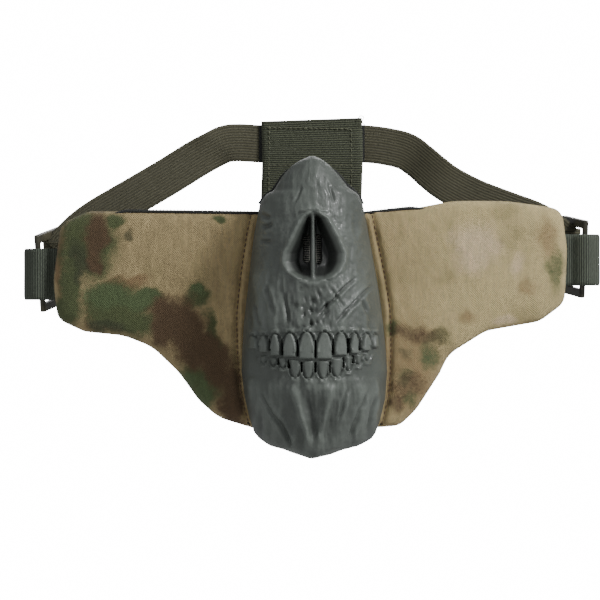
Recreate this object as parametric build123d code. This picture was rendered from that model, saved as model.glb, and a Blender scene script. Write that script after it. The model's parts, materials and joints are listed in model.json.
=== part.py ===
from build123d import *
import os
from math import cos, hypot, radians, sin, tan

# A lower-face mask: a moulded skull plate, two padded cloth wings and a head strap.
# Millimetres. +Z up, the plate faces -Y, the wearer is behind it at +Y.
# The origin is where the mid-plane meets the plate's rim, level with the middle of the cheeks.

# ---- driving dimensions -------------------------------------------------------------------
PLATE_TOP = 68.0          # nose bridge above the origin
PLATE_BOTTOM = -74.6      # chin below the origin
PLATE_HALF_WIDTH = 35.0   # widest, beside the mouth
PLATE_DEPTH = 41.0        # rim plane to the teeth
PLATE_WALL = 2.6
SCREEN_WALL = 0.8
FOAM_THICK = 3.0
LINING_THICK = 0.9
LAYER_GAP = 0.2           # between layers that lie on each other

NOSE_HALF_WIDTH = 12.8
NOSE_TOP = 41.5
NOSE_BOTTOM = 9.5
SEPTUM_WIDTH = 2.6
BITE_HEIGHT = -22.5       # level where the two rows of teeth meet
TOOTH_PITCH = 7.6
TOOTH_GAP = 1.3
TOOTH_GAP_HEIGHT = 8.0
TOOTH_GAPS = 7

SEAM_GAP = 2.0            # plate edge to the line of stitches
WELT_MARGIN = 1.2         # stitches to the outer edge of the welt
WELT_THICK = 5.0
HINGE_GAP = 0.3           # hinge line to the cloth on either side of it

WING_LENGTH = 86.0        # hinge line to the wing's tip
WING_HEIGHT = 105.0
WING_COVER = 1.2
WING_FOAM = 3.0
WING_LINING = 0.8
WING_START_ANGLE = 5.0    # how far the wing already bends back, at the plate and at the tip
WING_TIP_ANGLE = 12.0
BINDING_WIDTH = 2.4

TAB_WIDTH = 25.0
TAB_WEBBING = 1.5
TAB_SEWN_LENGTH = 14.0    # length of the tab that lies on the wing's lining
TAB_REACH = 7.9           # wing tip to the buckle's fixed bar
TAB_GAP = 0.5             # wing lining to the flat tab, room for the wing's curve

BAR_RADIUS = 1.5
BUCKLE_SIDE_ROOM = 4.6    # side rails to the tab, both sides together
BUCKLE_RAIL = 4.2
BUCKLE_THICK = 3.0
BUCKLE_CROSSBAR_AT = 14.0
BUCKLE_LOCKBAR_AT = 22.8
BUCKLE_LENGTH = 31.0
THUMB_LENGTH = 8.0
THUMB_THICK = 2.2
THUMB_TIP = 20.0          # how far the thumb end is tipped up, in degrees
BUCKLE_RAISED = 0.4       # middle of the buckle above the middle of the tab
SLOT_BAR = 2.4
SLOT_CLEARANCE = 0.4      # elastic to the crossbar that it folds round
ELASTIC_SHIFT = 4.4       # how far above the crossbar's middle the elastic sits
EYE_CLEARANCE = 0.7       # bar to the inside of the tab's eye, over the whole swing

ELASTIC_WIDTH = 18.5
ELASTIC_THICK = 1.4
STRAP_RISE = 18.0         # how far the pad lies behind the fixed bars
TAIL_LENGTH = 16.0
LEG_LENGTH = 9.0          # from the fold to where the elastic turns up to the pad

PAD_HALF_WIDTH = 25.0
PAD_TOP = 88.8
PAD_HINGE_GAP = 1.5       # pad's side to the line where the elastic turns
PAD_HOLD = 11.8           # middle of the elastic below the pad's top
PAD_HEIGHT = 58.0
PAD_WEBBING = 2.0

THREAD = 0.7
STITCH_LENGTH = 3.0
STITCH_PITCH = 4.2

# Each side: wing outline as shares of wing length and height with a corner radius, the tab's
# height, the buckle's lean and swing, and the elastic's way from the buckle to the pad as
# shares of the distance across and of the rise.
SIDES = {
    "left": {
        "mirrored": True,
        "outline": [
            (0.003, 0.398, 0), (0.810, 0.410, 14), (0.968, 0.350, 7), (1.012, 0.085, 30),
            (0.988, -0.088, 8), (0.830, -0.147, 12), (0.610, -0.163, 30), (0.448, -0.214, 20),
            (0.297, -0.333, 30), (0.186, -0.460, 18), (0.003, -0.568, 0),
        ],
        "tab_level": 12.5, "lean": 11.0, "swing": 68.0,
        "route": [(0.340, 0.490), (0.804, 0.940), (0.876, 1.0)],
    },
    "right": {
        "mirrored": False,
        "outline": [
            (0.003, 0.400, 0), (0.135, 0.421, 30), (0.345, 0.455, 50), (0.640, 0.455, 60),
            (0.962, 0.420, 7), (0.992, 0.233, 40), (0.976, -0.012, 8), (0.832, -0.100, 12),
            (0.530, -0.140, 14), (0.320, -0.247, 12), (0.262, -0.340, 12), (0.135, -0.505, 16),
            (0.060, -0.572, 6), (0.003, -0.577, 0),
        ],
        "tab_level": 19.5, "lean": 7.0, "swing": 70.0,
        "route": [(0.380, 0.500), (0.790, 0.888), (0.883, 1.0)],
    },
}

# Plate sections from the nose bridge to the chin: height as a share of the way from the middle
# to the top or bottom, half width as a share of the widest, and the depths of the rim and of
# the front as shares of the plate's depth.
PLATE_ROWS = [
    (1.000, 0.11, 0.40, 0.50), (0.93, 0.28, 0.31, 0.60), (0.80, 0.50, 0.18, 0.69),
    (0.68, 0.70, 0.08, 0.76), (0.49, 0.79, 0.00, 0.83), (0.19, 0.87, 0.00, 0.91),
    (-0.12, 0.95, 0.00, 0.97), (-0.40, 1.00, 0.00, 1.00), (-0.68, 0.93, 0.00, 0.95),
    (-0.86, 0.80, 0.00, 0.87), (-0.95, 0.50, 0.14, 0.80), (-1.000, 0.17, 0.35, 0.72),
]

# ---- values that follow ---------------------------------------------------------------------
PLATE_MIDDLE = (PLATE_TOP + PLATE_BOTTOM) / 2
PLATE_HALF_HEIGHT = (PLATE_TOP - PLATE_BOTTOM) / 2
WELT_X = PLATE_HALF_WIDTH + SEAM_GAP + WELT_MARGIN
HINGE_X = WELT_X + HINGE_GAP
WELT_FRONT = 0.4
HINGE_Y = WELT_FRONT + WELT_THICK + 0.4
FOAM_AT = WING_COVER + LAYER_GAP
LINING_AT = FOAM_AT + WING_FOAM + LAYER_GAP
WING_THICK = LINING_AT + WING_LINING
WING_RADIUS = WING_LENGTH / (sin(radians(WING_TIP_ANGLE)) - sin(radians(WING_START_ANGLE)))
WING_CENTRE_X = HINGE_X - WING_RADIUS * sin(radians(WING_START_ANGLE))
WING_CENTRE_Y = WELT_FRONT + WING_RADIUS * cos(radians(WING_START_ANGLE))
MAX_LEAN = max(side["lean"] for side in SIDES.values())
EYE_RADIUS = BAR_RADIUS + TAB_WIDTH / 2 * sin(radians(MAX_LEAN)) + EYE_CLEARANCE
TIP_X = HINGE_X + WING_LENGTH
TAB_BACK = WING_THICK + TAB_GAP + TAB_WEBBING
BAR_X = TIP_X + TAB_REACH
BAR_Y = (WING_CENTRE_Y - WING_RADIUS * cos(radians(WING_TIP_ANGLE))
         + TAB_BACK / cos(radians(WING_TIP_ANGLE)) + TAB_REACH * tan(radians(WING_TIP_ANGLE)))
SLOT_CLEAR = hypot(SLOT_BAR, BUCKLE_THICK) / 2 + SLOT_CLEARANCE
PAD_HINGE_X = PAD_HALF_WIDTH + PAD_HINGE_GAP
ELASTIC_LEVEL = PAD_TOP - PAD_HOLD
BUCKLE_INSIDE = TAB_WIDTH + BUCKLE_SIDE_ROOM
PAD_Y = BAR_Y + STRAP_RISE


def plate_width_at(z):
    """Half width of the plate's outside at a height."""
    share = (z - PLATE_MIDDLE) / PLATE_HALF_HEIGHT
    for (high, wide, _, _), (low, narrow, _, _) in zip(PLATE_ROWS, PLATE_ROWS[1:]):
        if low <= share <= high:
            mix = (share - low) / (high - low)
            return (narrow + (wide - narrow) * mix) * PLATE_HALF_WIDTH
    return PLATE_ROWS[-1][1] * PLATE_HALF_WIDTH


def plate_form(inset, back):
    """The plate's solid shape, shrunk by inset and carried past its rim by back."""
    sections = []
    for share, width, rim, front in PLATE_ROWS:
        half = width * PLATE_HALF_WIDTH
        depth = (front - rim) * PLATE_DEPTH
        half -= inset * min(1, half / 12)
        depth -= inset * min(1, depth / 12)
        z = PLATE_MIDDLE + share * (PLATE_HALF_HEIGHT - inset)
        rim_y = -rim * PLATE_DEPTH
        curve = Spline(
            (-half, rim_y, z), (-0.88 * half, rim_y - 0.52 * depth, z),
            (-0.52 * half, rim_y - 0.88 * depth, z), (0, rim_y - depth, z),
            (0.52 * half, rim_y - 0.88 * depth, z), (0.88 * half, rim_y - 0.52 * depth, z),
            (half, rim_y, z),
        )
        past = [(half, rim_y + back, z), (-half, rim_y + back, z)] if back else []
        closing = Polyline((half, rim_y, z), *past, (-half, rim_y, z))
        sections.append(make_face(curve + closing))
    return loft(sections)


def front_prism(face, near=-60, far=60):
    """A shape drawn on the XZ plane, carried along Y."""
    return extrude(Plane.XZ.offset(-far) * face, far - near)


def block(x0, x1, y0, y1, z0, z1):
    return Pos((x0 + x1) / 2, (y0 + y1) / 2, (z0 + z1) / 2) * Box(x1 - x0, y1 - y0, z1 - z0)


BEFORE_RIM = block(-60, 60, -60, 0, -90, 90)


def write(name, shape):
    shape.label = name
    export_step(shape, f"parts/{name}.step")


# ---- the skull plate and what lies inside it -------------------------------------------------
def nose_outline():
    wide, tall = NOSE_HALF_WIDTH, NOSE_TOP - NOSE_BOTTOM
    points = [(0, 1), (0.45, 0.82), (0.78, 0.55), (1, 0.3), (0.72, 0.06), (0, 0),
              (-0.72, 0.06), (-1, 0.3), (-0.78, 0.55), (-0.45, 0.82)]
    return make_face(Spline(*[(x * wide, NOSE_BOTTOM + z * tall) for x, z in points],
                            periodic=True))


def skull_plate():
    shell = (plate_form(0, 0) & BEFORE_RIM) - plate_form(PLATE_WALL, 2)
    nose = front_prism(nose_outline(), far=0)
    half = SEPTUM_WIDTH / 2
    nose -= block(-half, half, -60, 0, NOSE_BOTTOM - 1, NOSE_TOP + 1)
    shell -= nose
    for i in range(TOOTH_GAPS):
        x = (i - (TOOTH_GAPS - 1) / 2) * TOOTH_PITCH
        shell -= block(x - TOOTH_GAP / 2, x + TOOTH_GAP / 2, -60, -8,
                       BITE_HEIGHT - TOOTH_GAP_HEIGHT / 2, BITE_HEIGHT + TOOTH_GAP_HEIGHT / 2)
    return shell


FOAM_BAND = 13.0          # how far the foam reaches forward from the rim
NOSE_PAD_FROM = NOSE_TOP + 2.5
CHIN_PAD_BELOW = PLATE_BOTTOM + 14.0


def rim_band():
    """Where the foam lies: a band inside the rim, with the nose bridge and the chin."""
    return (block(-60, 60, -FOAM_BAND, 0, -90, 90)
            + block(-60, 60, -60, 0, NOSE_PAD_FROM, 90)
            + block(-60, 60, -60, 0, -90, CHIN_PAD_BELOW))


def inside_layers():
    outer = PLATE_WALL + LAYER_GAP
    foam_in = outer + FOAM_THICK
    lining_out = foam_in + LAYER_GAP
    lining_in = lining_out + LINING_THICK
    foam = (plate_form(outer, 0) - plate_form(foam_in, 2)) & rim_band()
    lining = (plate_form(lining_out, 0) - plate_form(lining_in, 2)) & rim_band()
    screen = plate_form(outer, 0) - plate_form(outer + SCREEN_WALL, 2)
    nose_box = block(-NOSE_HALF_WIDTH - 3, NOSE_HALF_WIDTH + 3, -60, -FOAM_BAND - 1,
                     NOSE_BOTTOM - 3, NOSE_PAD_FROM - 0.5)
    reach = TOOTH_PITCH * TOOTH_GAPS / 2 + 1
    mouth_box = block(-reach, reach, -60, -FOAM_BAND - 1,
                      BITE_HEIGHT - TOOTH_GAP_HEIGHT, BITE_HEIGHT + TOOTH_GAP_HEIGHT)
    return foam, lining, screen & nose_box, screen & mouth_box


# ---- the welts beside the plate, built on the right ------------------------------------------
def wing_heights(side):
    """Top and bottom of a wing where it starts."""
    return side["outline"][0][1] * WING_HEIGHT, side["outline"][-1][1] * WING_HEIGHT


def seam_welt(side):
    top, bottom = wing_heights(side)
    levels = [top + (bottom - top) * i / 6 for i in range(7)]
    inner = [(plate_width_at(z) - 6, z) for z in levels]
    face = make_face(Polyline((WELT_X, bottom), (WELT_X, top), *inner, close=True))
    return front_prism(face, WELT_FRONT, WELT_FRONT + WELT_THICK)


def seam_stitching(side):
    top, bottom = wing_heights(side)
    stitches = []
    z = top - STITCH_LENGTH
    while z > bottom + STITCH_LENGTH:
        x = plate_width_at(z) + SEAM_GAP
        stitches.append(block(x - THREAD / 2, x + THREAD / 2, WELT_FRONT - 0.05 - THREAD,
                              WELT_FRONT - 0.05, z - STITCH_LENGTH / 2, z + STITCH_LENGTH / 2))
        z -= STITCH_PITCH
    return Compound(children=stitches)


# ---- a wing, built on the right -----------------------------------------------------------------
def wing_layer(start, end):
    """The curved slab between two depths behind the wing's front."""
    slab = (Cylinder(WING_RADIUS - start, 200) - Cylinder(WING_RADIUS - end, 210))
    slab = Pos(WING_CENTRE_X, WING_CENTRE_Y, 0) * slab
    return slab & block(HINGE_X, TIP_X + 20, -5, 60, -90, 90)


def wing_outline(side, inset=0):
    points = [(HINGE_X + HINGE_GAP + u * WING_LENGTH, v * WING_HEIGHT)
              for u, v, _ in side["outline"]]
    radii = [r for _, _, r in side["outline"][1:-1]]
    line = FilletPolyline(*points, radius=radii)
    face = make_face(line + Line(points[-1], points[0]))
    return offset(face, -inset) if inset else face


def wing_pieces(side):
    whole = front_prism(wing_outline(side))
    inner = front_prism(wing_outline(side, BINDING_WIDTH + LAYER_GAP))
    ring = whole - front_prism(wing_outline(side, BINDING_WIDTH))
    return {
        "wing_cover": wing_layer(0, WING_COVER) & whole,
        "wing_foam": wing_layer(FOAM_AT, FOAM_AT + WING_FOAM) & inner,
        "wing_lining": wing_layer(LINING_AT, WING_THICK) & inner,
        "edge_binding": wing_layer(FOAM_AT, WING_THICK) & ring,
    }


# ---- the webbing tab, with an eye round the buckle's fixed bar ----------------------------------
def hull_to(radius, tip_distance, tip_half):
    """A teardrop: a circle at the origin drawn out to a short edge on the inner side."""
    return make_hull((Circle(radius) + Pos(-tip_distance, 0)
                      * Rectangle(1, 2 * tip_half)).edges())


def tab_webbing(side):
    neck = TAB_REACH - 2.0
    outer = hull_to(EYE_RADIUS + TAB_WEBBING, neck, TAB_WEBBING)
    inner = hull_to(EYE_RADIUS, neck - 1.0, 0.2)
    legs_length = TAB_REACH + TAB_SEWN_LENGTH - neck
    legs = Pos(-neck - legs_length / 2, 0) * Rectangle(legs_length, 2 * TAB_WEBBING)
    plan = Pos(BAR_X, BAR_Y) * Rot(0, 0, WING_TIP_ANGLE) * (outer + legs - inner)
    level = side["tab_level"]
    return Pos(0, 0, level - TAB_WIDTH / 2) * extrude(plan, TAB_WIDTH)


def tab_bartack(side):
    """Two rows of thread across the tab, on its back, where it is sewn to the wing."""
    rows = []
    for distance in (TAB_REACH + 5, TAB_REACH + TAB_SEWN_LENGTH - 3):
        row = Pos(-distance, TAB_WEBBING + THREAD / 2 + 0.05) * Rectangle(THREAD, THREAD)
        row = Pos(BAR_X, BAR_Y) * Rot(0, 0, WING_TIP_ANGLE) * row
        rows.append(Pos(0, 0, side["tab_level"] - TAB_WIDTH / 2 + 2) * extrude(row, TAB_WIDTH - 4))
    return Compound(children=rows)


# ---- the ladder-lock buckle ----------------------------------------------------------------------
def buckle_plane(side, distance):
    """At a distance along the buckle: X runs inwards and back along the frame, Y up its bars."""
    lean, swing = radians(side["lean"]), radians(side["swing"])
    along = Vector(-cos(lean) * cos(swing), cos(lean) * sin(swing), sin(lean))
    bar = Vector(BAR_X, BAR_Y, side["tab_level"] + BUCKLE_RAISED)
    return Plane(origin=bar + along * distance, x_dir=along, z_dir=(sin(swing), cos(swing), 0))


def buckle(side):
    """Built flat on its own XY plane, fixed bar on Y, then set in place."""
    wide = BUCKLE_INSIDE + 2 * BUCKLE_RAIL
    rail_at = (BUCKLE_INSIDE + BUCKLE_RAIL) / 2
    rail_length = BUCKLE_LENGTH - THUMB_LENGTH * 0.75
    shape = Rot(90, 0, 0) * Cylinder(BAR_RADIUS, wide)
    for way in (-1, 1):
        rail = Pos(rail_length / 2, way * rail_at, 0) * Box(rail_length, BUCKLE_RAIL, BUCKLE_THICK)
        end = Pos(0, way * rail_at, 0) * Rot(90, 0, 0) * Cylinder(BUCKLE_THICK / 2, BUCKLE_RAIL)
        shape += [rail, end]
    for at in (BUCKLE_CROSSBAR_AT, BUCKLE_LOCKBAR_AT):
        shape += Pos(at, 0, 0) * Box(SLOT_BAR, BUCKLE_INSIDE + 1, BUCKLE_THICK)
    thumb = Box(THUMB_LENGTH, wide - 6, THUMB_THICK)
    shape += Pos(rail_length + 1.5, 0, 1.2) * Rot(0, -THUMB_TIP, 0) * thumb
    return buckle_plane(side, 0) * shape


# ---- the elastic, from the buckle's crossbar to the pad --------------------------------------------
def crossbar_plane(side):
    """Where the elastic folds round the crossbar: Z up the bar, X outwards, Y back."""
    place = buckle_plane(side, BUCKLE_CROSSBAR_AT)
    origin = place.origin + place.y_dir * ELASTIC_SHIFT
    return Plane(origin=origin, x_dir=(1, 0, 0), z_dir=place.y_dir)


def elastic(side):
    """A fold round the crossbar with its short tail, and the run that goes back to the pad."""
    thick, far = ELASTIC_THICK, SLOT_CLEAR + ELASTIC_THICK
    fold = Pos(far - thick / 2, 0) * Rectangle(thick, 2 * far)
    tail = Pos(far - TAIL_LENGTH / 2, far - thick / 2) * Rectangle(TAIL_LENGTH, thick)
    leg = Pos(far - LEG_LENGTH / 2, thick / 2 - far) * Rectangle(LEG_LENGTH, thick)
    loop = crossbar_plane(side) * extrude(fold + tail + leg, ELASTIC_WIDTH / 2, both=True)

    bar = crossbar_plane(side).origin
    start_x, end_x = bar.X - far, PAD_HINGE_X + 0.5
    plan = Polyline((start_x, bar.Y - far), (end_x, PAD_Y - thick / 2),
                    (end_x, PAD_Y + thick / 2), (start_x, bar.Y - far + thick), close=True)
    slab = Pos(0, 0, -60) * extrude(make_face(plan), 220)
    across, rise = start_x - end_x, ELASTIC_LEVEL - bar.Z
    route = [(start_x + 2, bar.Z)]
    route += [(start_x - across * x, bar.Z + rise * z) for x, z in side["route"]]
    route.append((end_x - 1, ELASTIC_LEVEL))
    centre = FilletPolyline(*route, radius=[30] + [12] * (len(route) - 3))
    return loop + (slab & front_prism(trace(centre, ELASTIC_WIDTH)))


def tail_stitching(side):
    """A row of thread along the elastic's hemmed end."""
    far = SLOT_CLEAR + ELASTIC_THICK
    row = Pos(far - TAIL_LENGTH + 3, far + 0.05 + THREAD / 2) * Rectangle(THREAD, THREAD)
    return crossbar_plane(side) * extrude(row, ELASTIC_WIDTH / 2 - 2, both=True)


# ---- the pad behind the head ---------------------------------------------------------------------
def head_pad():
    half = ELASTIC_THICK / 2
    top, bottom = PAD_TOP, PAD_TOP - PAD_HEIGHT
    wide = PAD_HALF_WIDTH
    front_far = PAD_Y - half - LAYER_GAP
    back_near = PAD_Y + half + LAYER_GAP
    centre_end = PAD_HINGE_X - 0.5
    thread = []
    inset = 4.5
    front = front_far - PAD_WEBBING - 0.05
    for way in (-1, 1):
        x = way * (wide - inset)
        thread.append(block(x - THREAD / 2, x + THREAD / 2, front - THREAD, front,
                            bottom + inset, top - inset))
    for z in (bottom + inset, top - inset):
        thread.append(block(-wide + inset + 1, wide - inset - 1, front - THREAD, front,
                            z - THREAD / 2, z + THREAD / 2))
    return {
        "head_pad_front": block(-wide, wide, front_far - PAD_WEBBING, front_far, bottom, top),
        "head_pad_back": block(-wide, wide, back_near, back_near + PAD_WEBBING, bottom, top),
        "head_pad_elastic": block(-centre_end, centre_end, PAD_Y - half, PAD_Y + half,
                                  ELASTIC_LEVEL - ELASTIC_WIDTH / 2,
                                  ELASTIC_LEVEL + ELASTIC_WIDTH / 2),
        "head_pad_stitching": Compound(children=thread),
    }


# ---- write every piece ---------------------------------------------------------------------------
os.makedirs("parts", exist_ok=True)

write("skull_plate", skull_plate())
plate_foam, plate_lining, nose_screen, mouth_screen = inside_layers()
write("plate_foam", plate_foam)
write("plate_lining", plate_lining)
write("nose_screen", nose_screen)
write("mouth_screen", mouth_screen)
for name, shape in head_pad().items():
    write(name, shape)

for hand, side in SIDES.items():
    pieces = {
        "seam_welt": seam_welt(side),
        "seam_stitching": seam_stitching(side),
        **wing_pieces(side),
        "tab_webbing": tab_webbing(side),
        "tab_bartack": tab_bartack(side),
        "buckle": buckle(side),
        "elastic": elastic(side),
        "tail_stitching": tail_stitching(side),
    }
    for name, shape in pieces.items():
        if side["mirrored"]:
            shape = mirror(shape, about=Plane.YZ)
        write(f"{hand}_{name}", shape)

print("hinge", HINGE_X, HINGE_Y, "bar", BAR_X, BAR_Y, "pad hinge", PAD_HINGE_X, PAD_Y,
      "eye", EYE_RADIUS)
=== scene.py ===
"""Looks for a half face mask: a moulded skull plate, padded camouflage wings and a head strap."""

import json
import math

import bmesh
import bpy
import numpy as np
from mathutils import Matrix, Vector, noise


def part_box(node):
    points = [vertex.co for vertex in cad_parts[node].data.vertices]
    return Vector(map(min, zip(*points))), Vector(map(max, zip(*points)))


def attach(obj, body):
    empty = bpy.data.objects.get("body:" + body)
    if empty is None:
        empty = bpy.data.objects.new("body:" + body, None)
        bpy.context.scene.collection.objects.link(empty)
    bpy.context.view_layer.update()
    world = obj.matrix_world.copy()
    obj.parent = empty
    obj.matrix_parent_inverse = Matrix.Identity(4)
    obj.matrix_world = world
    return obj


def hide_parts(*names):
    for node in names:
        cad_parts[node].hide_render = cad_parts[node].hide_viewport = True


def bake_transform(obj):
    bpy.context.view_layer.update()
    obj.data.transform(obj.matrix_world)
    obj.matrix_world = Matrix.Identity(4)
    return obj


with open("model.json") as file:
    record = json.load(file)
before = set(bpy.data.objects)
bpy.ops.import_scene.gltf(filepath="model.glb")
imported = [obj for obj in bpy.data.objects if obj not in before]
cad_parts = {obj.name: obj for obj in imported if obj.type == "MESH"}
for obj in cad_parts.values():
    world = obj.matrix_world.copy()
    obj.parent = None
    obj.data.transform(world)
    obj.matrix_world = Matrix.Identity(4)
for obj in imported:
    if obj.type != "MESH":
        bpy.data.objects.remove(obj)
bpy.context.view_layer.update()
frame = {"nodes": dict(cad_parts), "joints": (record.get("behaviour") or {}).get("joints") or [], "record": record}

bl_info = {
    "name": "Half Face Mask Maker",
    "version": (1, 0, 0),
    "blender": (4, 5, 0),
    "location": "View3D > Sidebar > Mask",
    "description": "Builds the skull plate, padded wings, webbing, elastic and buckles of a face mask",
    "category": "Object",
}

MM = 0.001
SIDES = {"left": -1, "right": 1}

# Places in millimetres that come from the CAD frame.
JOINTS = {joint["name"]: [v / MM for v in joint["pos_m"]] for joint in frame["joints"]}
HINGE_X = JOINTS["right_wing_wrap"][0]
BAR_X, BAR_Y = abs(JOINTS["left_strap_swing"][0]), JOINTS["left_strap_swing"][1]
PAD_HINGE_X, PAD_Y = JOINTS["right_strap_swing"][:2]
BARS = {mount["name"].removesuffix("_tab_slot"): Vector(mount["pos_m"]) / MM
        for mount in frame["record"]["mounts"] if mount["name"].endswith("_tab_slot")}
# How each buckle hangs: lean of its bars and swing to the rear, in degrees.
BUCKLE_LEAN = {"left": 11.0, "right": 7.0}
BUCKLE_SWING = {"left": 68.0, "right": 70.0}
# From a buckle's fixed bar to its crossbar, and how far up the crossbar the elastic lies.
CROSSBAR_AT = 14.0
ELASTIC_SHIFT = 4.4
ELASTIC_WIDTH = 18.5
TAB_WIDTH = 25.0
TAB_TILT = math.radians(12)
# Each wing's front bends back along an arc, from the first turn to the last.
WING_LENGTH = 86.0
WING_TURNS = (math.radians(5), math.radians(12))


# ---- settings -----------------------------------------------------------------------------------
class PlateSettings(bpy.types.PropertyGroup):
    """Sizes and colours of the skull plate"""
    wall: bpy.props.FloatProperty(name="Wall", description="Thickness of the moulding",
                                  default=0.0025, unit="LENGTH")
    relief: bpy.props.FloatProperty(name="Relief", description="Strength of furrows and cracks",
                                    default=1.0, subtype="FACTOR")
    colour: bpy.props.FloatVectorProperty(name="Colour", description="Colour of the moulding",
                                          default=(0.105, 0.118, 0.105), subtype="COLOR")


class ClothSettings(bpy.types.PropertyGroup):
    """Sizes and colours of the padded wings"""
    puff: bpy.props.FloatProperty(name="Puff", description="How far the padding stands out",
                                  default=0.0017, unit="LENGTH")
    spacing: bpy.props.FloatProperty(name="Mesh spacing", description="Size of the cloth's faces",
                                     default=0.0009, unit="LENGTH")
    tan: bpy.props.FloatVectorProperty(name="Tan", description="Ground colour of the print",
                                       default=(0.560, 0.432, 0.218), subtype="COLOR")
    green: bpy.props.FloatVectorProperty(name="Green", description="Green of the print",
                                         default=(0.120, 0.145, 0.058), subtype="COLOR")
    brown: bpy.props.FloatVectorProperty(name="Brown", description="Brown of the print",
                                         default=(0.145, 0.090, 0.046), subtype="COLOR")


class StrapSettings(bpy.types.PropertyGroup):
    """Sizes and colours of the webbing and elastic"""
    rib_pitch: bpy.props.FloatProperty(name="Rib pitch", description="Ribs of the webbing",
                                       default=0.00108, unit="LENGTH")
    elastic_ribs: bpy.props.IntProperty(name="Elastic ribs", description="Ribs across the elastic",
                                        default=14)
    webbing: bpy.props.FloatVectorProperty(name="Webbing", description="Colour of the pad",
                                           default=(0.078, 0.088, 0.050), subtype="COLOR")
    tab: bpy.props.FloatVectorProperty(name="Tab", description="Colour of the tabs",
                                       default=(0.088, 0.105, 0.075), subtype="COLOR")
    elastic: bpy.props.FloatVectorProperty(name="Elastic", description="Colour of the elastic",
                                           default=(0.088, 0.083, 0.047), subtype="COLOR")


# ---- shader expressions -------------------------------------------------------------------------
def add_node(tree, kind, settings, sockets):
    """A new node with its settings, then the values or links of its sockets."""
    node = tree.nodes.new(kind)
    for key, setting in settings.items():
        setattr(node, key, setting)
    for key, value in sockets.items():
        if isinstance(value, Value):
            value = value.socket
        if isinstance(value, bpy.types.NodeSocket):
            tree.links.new(value, node.inputs[key])
        else:
            node.inputs[key].default_value = value
    return node


class Value:
    """One output of a shader node, for use in Python expressions."""

    def __init__(self, surface, socket):
        self.surface = surface
        self.socket = socket

    def math(self, operation, *others):
        return self.surface.add("ShaderNodeMath", {"operation": operation},
                                dict(enumerate((self, *others))))

    def __add__(self, other):
        return self.math("ADD", other)

    def __sub__(self, other):
        return self.math("SUBTRACT", other)

    def __rsub__(self, other):
        return (self * -1.0).math("ADD", other)

    def __mul__(self, other):
        return self.math("MULTIPLY", other)

    __radd__ = __add__
    __rmul__ = __mul__

    def sine(self):
        return self.math("SINE")

    def wave(self, pitch):
        """From -1 to 1 and back over each pitch."""
        return (self * (2 * math.pi / pitch)).sine()

    def between(self, low, high):
        """0 below low, 1 above high, smooth between."""
        return self.surface.add("ShaderNodeMapRange", {"interpolation_type": "SMOOTHSTEP"},
                                {"Value": self, "From Min": low, "From Max": high})


class Surface:
    """A material on the Principled shader, with its nodes made by expressions."""

    def __init__(self, name, rough=0.7, sheen=0.0, coat=0.0):
        self.material = bpy.data.materials.new(name)
        self.material.use_nodes = True
        self.tree = self.material.node_tree
        self.shader = self.tree.nodes["Principled BSDF"]
        for label, value in (("Roughness", rough), ("Sheen Weight", sheen),
                             ("Sheen Roughness", 0.5), ("Coat Weight", coat)):
            self.shader.inputs[label].default_value = value
        self.place = self.add("ShaderNodeTexCoord", {}, {}, "Object")

    def add(self, kind, settings, sockets, out=0):
        return Value(self, add_node(self.tree, kind, settings, sockets).outputs[out])

    def noise(self, per_mm, detail=3.0, rough=0.55, stretch=None):
        place = self.place
        if stretch:
            place = self.add("ShaderNodeMapping", {}, {"Vector": place, "Scale": stretch})
        return self.add("ShaderNodeTexNoise", {}, {"Vector": place, "Scale": per_mm / MM,
                                                   "Detail": detail, "Roughness": rough})

    def cells(self, per_mm):
        return self.add("ShaderNodeTexVoronoi", {}, {"Vector": self.place, "Scale": per_mm / MM})

    def attribute(self, name, out="Fac"):
        return self.add("ShaderNodeAttribute", {"attribute_name": name}, {}, out)

    def channels(self, value, kind="ShaderNodeSeparateColor"):
        node = add_node(self.tree, kind, {}, {0: value})
        return [Value(self, output) for output in node.outputs]

    def axes(self, value):
        return self.channels(value, "ShaderNodeSeparateXYZ")

    def mix(self, factor, first, second):
        first, second = ((*c, 1.0) if isinstance(c, tuple) else c for c in (first, second))
        return self.add("ShaderNodeMix", {"data_type": "RGBA"},
                        {0: factor, 6: first, 7: second}, 2)

    def tint(self, colour, factor):
        """Colour made lighter or darker by a number around 1."""
        return self.add("ShaderNodeVectorMath", {"operation": "SCALE"},
                        {0: colour, "Scale": factor})

    def finish(self, colour, rough, height, depth_mm):
        bump = self.add("ShaderNodeBump", {}, {"Height": height, "Strength": 1.0,
                                               "Distance": depth_mm * MM}, "Normal")
        for label, value in (("Base Color", colour), ("Roughness", rough), ("Normal", bump)):
            if value is not None:
                self.tree.links.new(value.socket, self.shader.inputs[label])
        return self.material


def scaled(colour, factor):
    return tuple(c * factor for c in colour)


def plate_surface(colour):
    s = Surface("plate_moulding", coat=0.06)
    relief = s.attribute("relief")
    blotch = s.noise(0.035, 4)
    grain = s.noise(1.6, 4)
    pores = s.cells(1.1).between(0.05, 0.32)
    low = s.mix(blotch.between(0.3, 0.7), scaled(colour, 0.82), scaled(colour, 1.12))
    worn = s.mix(relief.between(0.50, 0.76) * (0.45 + 0.4 * grain), low, scaled(colour, 1.75))
    # Painted shade: where the relief sinks into furrows, cracks, pits and the nose bowl, the colour darkens
    # towards a fifth of the plate's own.
    deep = s.mix(1.0 - relief.between(-0.06, 0.45), worn, scaled(colour, 0.22))
    dust_and_recess_shade = s.tint(deep, 0.86 + 0.28 * grain)
    rough = 0.33 + 0.16 * blotch + 0.12 * grain
    return s.finish(dust_and_recess_shade, rough, grain * 0.7 + pores * 0.3, 0.10)


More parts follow.
